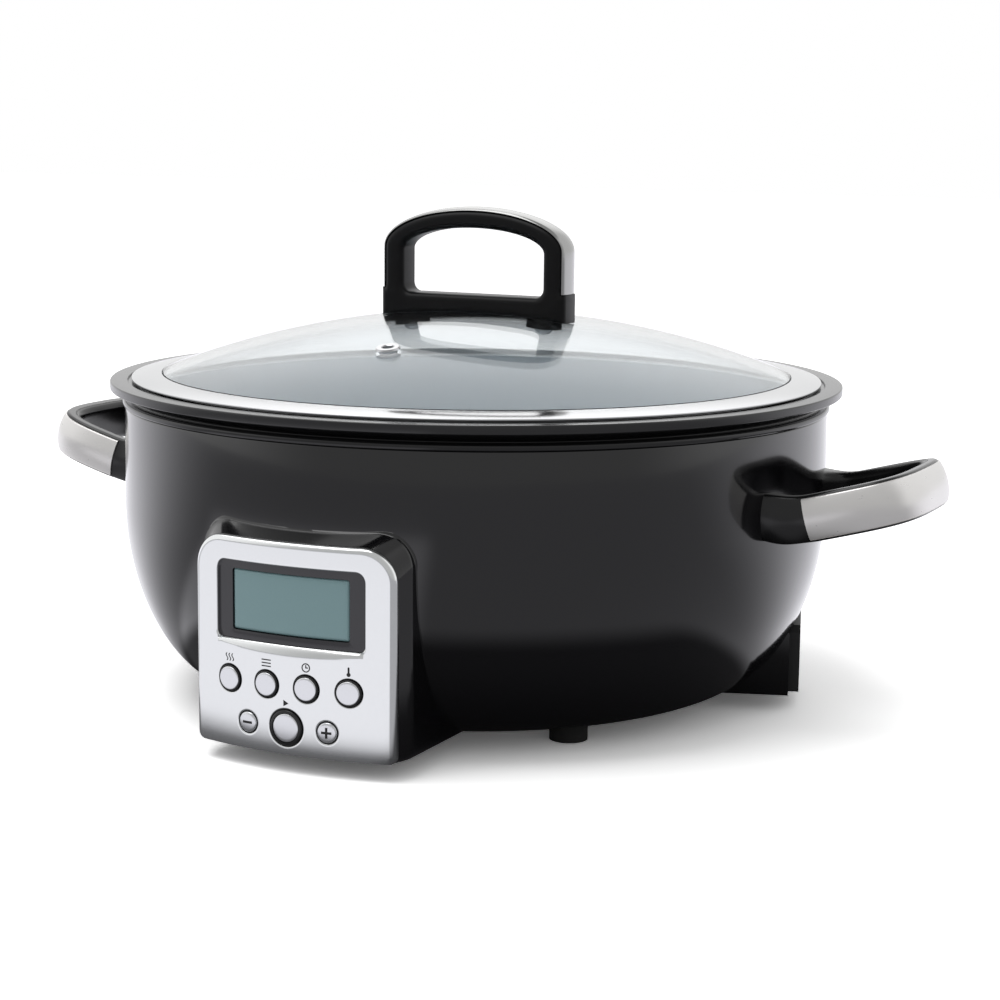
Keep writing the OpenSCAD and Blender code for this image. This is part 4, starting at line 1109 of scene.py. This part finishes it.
POD_FLARE = 3.0
POD_RISE = 5.5
POD_REAR_Y = -154.0
POD_FILLET = 0.8
POD_STEPS = 22
POD_EASE = 1.7
POD_SINK = 1.0
POD_INSET = 0.3
POD_LIFT = 0.1
POD_GAP = 0.05
POD_REAR_SHARES = (0.9, 0.75, 0.6, 0.45, 0.3, 0.15, 0.03)
pod_panel = rounded_panel(FACE_HALF - POD_INSET, FACE_Z0 + POD_LIFT, FACE_Z1 - POD_INSET,
                          FACE_CORNER, CHIN_CORNER, 14)
pod_front = dense(pod_panel, FACE_SPACING)
pod_out = [(a[0] - b[0], a[1] - b[1]) for a, b in zip(inset(pod_front, -1.0), pod_front)]
pod_rings = []
for step in range(POD_STEPS + 1):
    t = 1 - (1 - step / POD_STEPS) ** POD_EASE
    ring = []
    for (x, z), (out_x, out_z) in zip(pod_front, pod_out):
        up = (z - FACE_Z0) / (FACE_Z1 - FACE_Z0)
        rear_x = x * (FACE_HALF + POD_FLARE) / FACE_HALF
        rear_z = z + POD_RISE * up
        meet_y = face_y(shell_r(rear_z), rear_x)
        front_y = face_y(FACE_R - BEZEL_T - POD_GAP, x) + chin(z)
        y = front_y + (meet_y + POD_SINK - front_y) * t
        share = min(1.0, (y - front_y) / (POD_REAR_Y - front_y))
        flare = roll(meet_y - y, POD_FILLET) * smooth(-0.3, 0.3, out_z)
        ring.append((x + (rear_x - x) * share + out_x * flare, y, z + (rear_z - z) * share + out_z * flare))
    pod_rings.append(ring)
rear_ring = pod_rings[-1]
rear_middle = (FACE_Z0 + FACE_Z1) / 2
for share in POD_REAR_SHARES:
    ring = []
    for edge_x, _, edge_z in rear_ring:
        x = edge_x * share
        z = rear_middle + (edge_z - rear_middle) * share
        ring.append((x, face_y(shell_r(z), x) + POD_SINK, z))
    pod_rings.append(ring)
piece("pod_skin", *skin(pod_rings), "base", "housing_black", ["pod_housing"], sharp=45.0)


# Finishes of the CAD pieces that are shown as they are

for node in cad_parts.values():
    slot_name = node.data.materials[0].name
    node.data.materials[0] = MATERIALS[slot_name]


# Stage, camera and light

scene = bpy.context.scene
scene.render.resolution_x = 1000
scene.render.resolution_y = 1000
scene.view_settings.view_transform = "Standard"


# Directions to the camera, to the darker side that gloss sees, to a painted bright card on the floor, and to
# a soft box behind
CAMERA_SIDE = (0.4327, -0.9015, 0.0)
DARK_SIDE = (0.309, -0.951, 0.0)
PAINTED_CARD_SIDE = (-0.3665, -0.9304, 0.0)
BOX_SIDE = (-0.33, 0.69, 0.64)
COOL_WHITE = (0.985, 0.98, 1.03, 1.0)

# The floor's colour as the camera sees it, the share of plain white in it, and its colour for soft light
FLOOR_GAIN = 2.4
FLOOR_FILL = 0.06
FLOOR_GREY = 0.5
FLOOR_HALF = 6.0

# What gloss sees of the floor, a glow that stands in for its light: its level behind and in front, and what a
# painted bright card adds up to a distance
GLOSS_BEHIND = 1.2
GLOSS_FRONT = 0.42
PAINTED_CARD_ADDS = 0.52
PAINTED_CARD_NEAR = 0.7
PAINTED_CARD_FAR = 0.95

# Distances in metres over which the floor that gloss sees darkens in a painted shadow under the object,
# nearer at its sides
PAINTED_SHADOW_IN = 0.194
PAINTED_SHADOW_OUT = 0.237
PAINTED_SHADOW_LEVEL = 0.16
SIDE_NARROWS = 1.6
PAINTED_CONTACT_SHADOW_IN = 0.11
PAINTED_CONTACT_SHADOW_OUT = 0.19
PAINTED_CONTACT_SHADOW_LEVEL = 0.1

# The surround: its level for soft light, and for gloss in front, overhead and in the soft box
WORLD_LEVEL = 0.5
WORLD_FRONT = 0.5
WORLD_OVERHEAD = 0.3
BOX_ADDS = 0.7


def ramp(nodes, links, source, low, high, at_low, at_high):
    """A soft step of a value between two limits."""
    node = nodes.new("ShaderNodeMapRange")
    node.interpolation_type = "SMOOTHSTEP"
    node.inputs["From Min"].default_value = low
    node.inputs["From Max"].default_value = high
    node.inputs["To Min"].default_value = at_low
    node.inputs["To Max"].default_value = at_high
    links.new(source, node.inputs["Value"])
    return node.outputs["Result"]


def towards(nodes, links, vector, direction):
    """How far a vector points along a direction."""
    node = nodes.new("ShaderNodeVectorMath")
    node.operation = "DOT_PRODUCT"
    node.inputs[1].default_value = direction
    links.new(vector, node.inputs[0])
    return node.outputs["Value"]


def maths(nodes, links, operation, a, b):
    """One value from two; each is a number or a socket."""
    node = nodes.new("ShaderNodeMath")
    node.operation = operation
    for socket, value in zip(node.inputs, (a, b)):
        if isinstance(value, float):
            socket.default_value = value
        else:
            links.new(value, socket)
    return node.outputs["Value"]


def stage_floor():
    """A white floor that takes the object's real shadow; gloss sees it as a glow with a painted bright card,
    darkened by a painted shadow only close to the object.
    """
    mesh = bpy.data.meshes.new("floor")
    corners = [(x, y, 0.0) for x, y in bar(0.0, 0.0, FLOOR_HALF, FLOOR_HALF)]
    mesh.from_pydata(corners, [], [[0, 1, 2, 3]])
    floor = bpy.data.objects.new("floor", mesh)
    scene.collection.objects.link(floor)
    material = bpy.data.materials.new("floor_white")
    material.use_nodes = True
    material.cycles.emission_sampling = "NONE"
    nodes = material.node_tree.nodes
    links = material.node_tree.links
    nodes.clear()
    path = nodes.new("ShaderNodeLightPath")
    place = nodes.new("ShaderNodeNewGeometry")
    aim = nodes.new("ShaderNodeVectorMath")
    aim.operation = "NORMALIZE"
    links.new(place.outputs["Position"], aim.inputs[0])
    length = nodes.new("ShaderNodeVectorMath")
    length.operation = "LENGTH"
    links.new(place.outputs["Position"], length.inputs[0])
    reach = length.outputs["Value"]
    front = towards(nodes, links, aim.outputs["Vector"], DARK_SIDE)
    # A painted bright card in the floor's glow, seen only in gloss
    card = towards(nodes, links, aim.outputs["Vector"], PAINTED_CARD_SIDE)
    level = ramp(nodes, links, front, -0.5, 0.3, GLOSS_BEHIND, GLOSS_FRONT)
    in_painted_card = ramp(nodes, links, card, 0.79, 0.85, 0.0, 1.0)
    painted_card_level = ramp(nodes, links, reach, PAINTED_CARD_NEAR, PAINTED_CARD_FAR, PAINTED_CARD_ADDS, 0.0)
    painted_card_level = maths(nodes, links, "MULTIPLY", painted_card_level, in_painted_card)
    level = maths(nodes, links, "ADD", level, painted_card_level)
    # Painted shadow of the object in the floor's glow, seen only in gloss: dark close to the object, nearer
    # at its sides
    wide = ramp(nodes, links, front, -0.1, 0.6, SIDE_NARROWS, 1.0)
    wide_reach = maths(nodes, links, "MULTIPLY", reach, wide)
    under = ramp(nodes, links, wide_reach, PAINTED_SHADOW_IN, PAINTED_SHADOW_OUT, PAINTED_SHADOW_LEVEL, 1.0)
    below = ramp(nodes, links, reach, PAINTED_CONTACT_SHADOW_IN, PAINTED_CONTACT_SHADOW_OUT, PAINTED_CONTACT_SHADOW_LEVEL, 1.0)
    dark = maths(nodes, links, "MULTIPLY", under, below)
    level = maths(nodes, links, "MULTIPLY", level, dark)
    seen = nodes.new("ShaderNodeBsdfDiffuse")
    seen.inputs["Color"].default_value = (FLOOR_GAIN, FLOOR_GAIN, FLOOR_GAIN, 1.0)
    plain = nodes.new("ShaderNodeBsdfDiffuse")
    plain.inputs["Color"].default_value = (FLOOR_GREY, FLOOR_GREY, FLOOR_GREY, 1.0)
    glow = nodes.new("ShaderNodeEmission")
    glow.inputs["Color"].default_value = COOL_WHITE
    links.new(level, glow.inputs["Strength"])
    white = nodes.new("ShaderNodeEmission")
    first = nodes.new("ShaderNodeMixShader")
    links.new(path.outputs["Is Glossy Ray"], first.inputs["Fac"])
    links.new(plain.outputs["BSDF"], first.inputs[1])
    links.new(glow.outputs["Emission"], first.inputs[2])
    second = nodes.new("ShaderNodeMixShader")
    links.new(path.outputs["Is Transmission Ray"], second.inputs["Fac"])
    links.new(first.outputs["Shader"], second.inputs[1])
    links.new(white.outputs["Emission"], second.inputs[2])
    filled = nodes.new("ShaderNodeMixShader")
    filled.inputs["Fac"].default_value = FLOOR_FILL
    links.new(seen.outputs["BSDF"], filled.inputs[1])
    links.new(white.outputs["Emission"], filled.inputs[2])
    third = nodes.new("ShaderNodeMixShader")
    links.new(path.outputs["Is Camera Ray"], third.inputs["Fac"])
    links.new(second.outputs["Shader"], third.inputs[1])
    links.new(filled.outputs["Shader"], third.inputs[2])
    result = nodes.new("ShaderNodeOutputMaterial")
    links.new(third.outputs["Shader"], result.inputs["Surface"])
    mesh.materials.append(material)


stage_floor()


def set_world():
    """A white surround that lights softly; gloss sees it darker on the camera's side."""
    world = bpy.data.worlds.new("surround")
    scene.world = world
    world.use_nodes = True
    nodes = world.node_tree.nodes
    links = world.node_tree.links
    background = nodes["Background"]
    place = nodes.new("ShaderNodeTexCoord")
    path = nodes.new("ShaderNodeLightPath")
    front = towards(nodes, links, place.outputs["Generated"], CAMERA_SIDE)
    level = ramp(nodes, links, front, 0.1, 0.7, 1.0, WORLD_FRONT)
    high = towards(nodes, links, place.outputs["Generated"], (0.0, 0.0, 1.0))
    overhead = ramp(nodes, links, high, 0.75, 0.95, 1.0, WORLD_OVERHEAD)
    level = maths(nodes, links, "MULTIPLY", level, overhead)
    box = towards(nodes, links, place.outputs["Generated"], BOX_SIDE)
    box_level = ramp(nodes, links, box, 0.85, 0.99, 0.0, BOX_ADDS)
    level = maths(nodes, links, "ADD", level, box_level)
    clear = maths(nodes, links, "MAXIMUM", path.outputs["Is Camera Ray"], path.outputs["Is Transmission Ray"])
    gloss = maths(nodes, links, "MULTIPLY", path.outputs["Is Glossy Ray"], level)
    soft = maths(nodes, links, "MAXIMUM", gloss, WORLD_LEVEL)
    strength = maths(nodes, links, "MAXIMUM", soft, clear)
    links.new(strength, background.inputs["Strength"])
    background.inputs["Color"].default_value = (1.0, 1.0, 1.0, 1.0)


set_world()


def area_lamp(name, place, target, size, power):
    """A soft lamp aimed at a point, places in mm, its two sides in metres."""
    lamp = bpy.data.lights.new(name, "AREA")
    lamp.shape = "RECTANGLE"
    lamp.size, lamp.size_y = size
    lamp.energy = power
    holder = bpy.data.objects.new(name, lamp)
    scene.collection.objects.link(holder)
    holder.location = Vector(place) * MM
    aim = Vector(target) * MM - holder.location
    holder.rotation_euler = aim.to_track_quat("-Z", "Y").to_euler()


area_lamp("top_lamp", (-400, -250, 1450), (0, 0, 100), (1.4, 1.0), 9.0)

CAMERA_PLACE = Vector((468.6, -950.8, 265.7))
CAMERA_BACK = Vector((0.4266, -0.8889, 0.1668)).normalized()
CAMERA_ROLL = math.radians(0.61)
right = Vector((0, 0, 1)).cross(CAMERA_BACK).normalized()
up = CAMERA_BACK.cross(right)
rolled_right = right * math.cos(CAMERA_ROLL) + up * math.sin(CAMERA_ROLL)
rolled_up = up * math.cos(CAMERA_ROLL) - right * math.sin(CAMERA_ROLL)
camera_data = bpy.data.cameras.new("camera")
camera_data.lens = 84.2
camera_data.sensor_width = 36.0
camera_data.clip_start = 0.05
camera_data.clip_end = 50.0
camera = bpy.data.objects.new("camera", camera_data)
scene.collection.objects.link(camera)
turn = Matrix((rolled_right, rolled_up, CAMERA_BACK)).transposed().to_4x4()
camera.matrix_world = Matrix.Translation(CAMERA_PLACE * MM) @ turn
scene.camera = camera
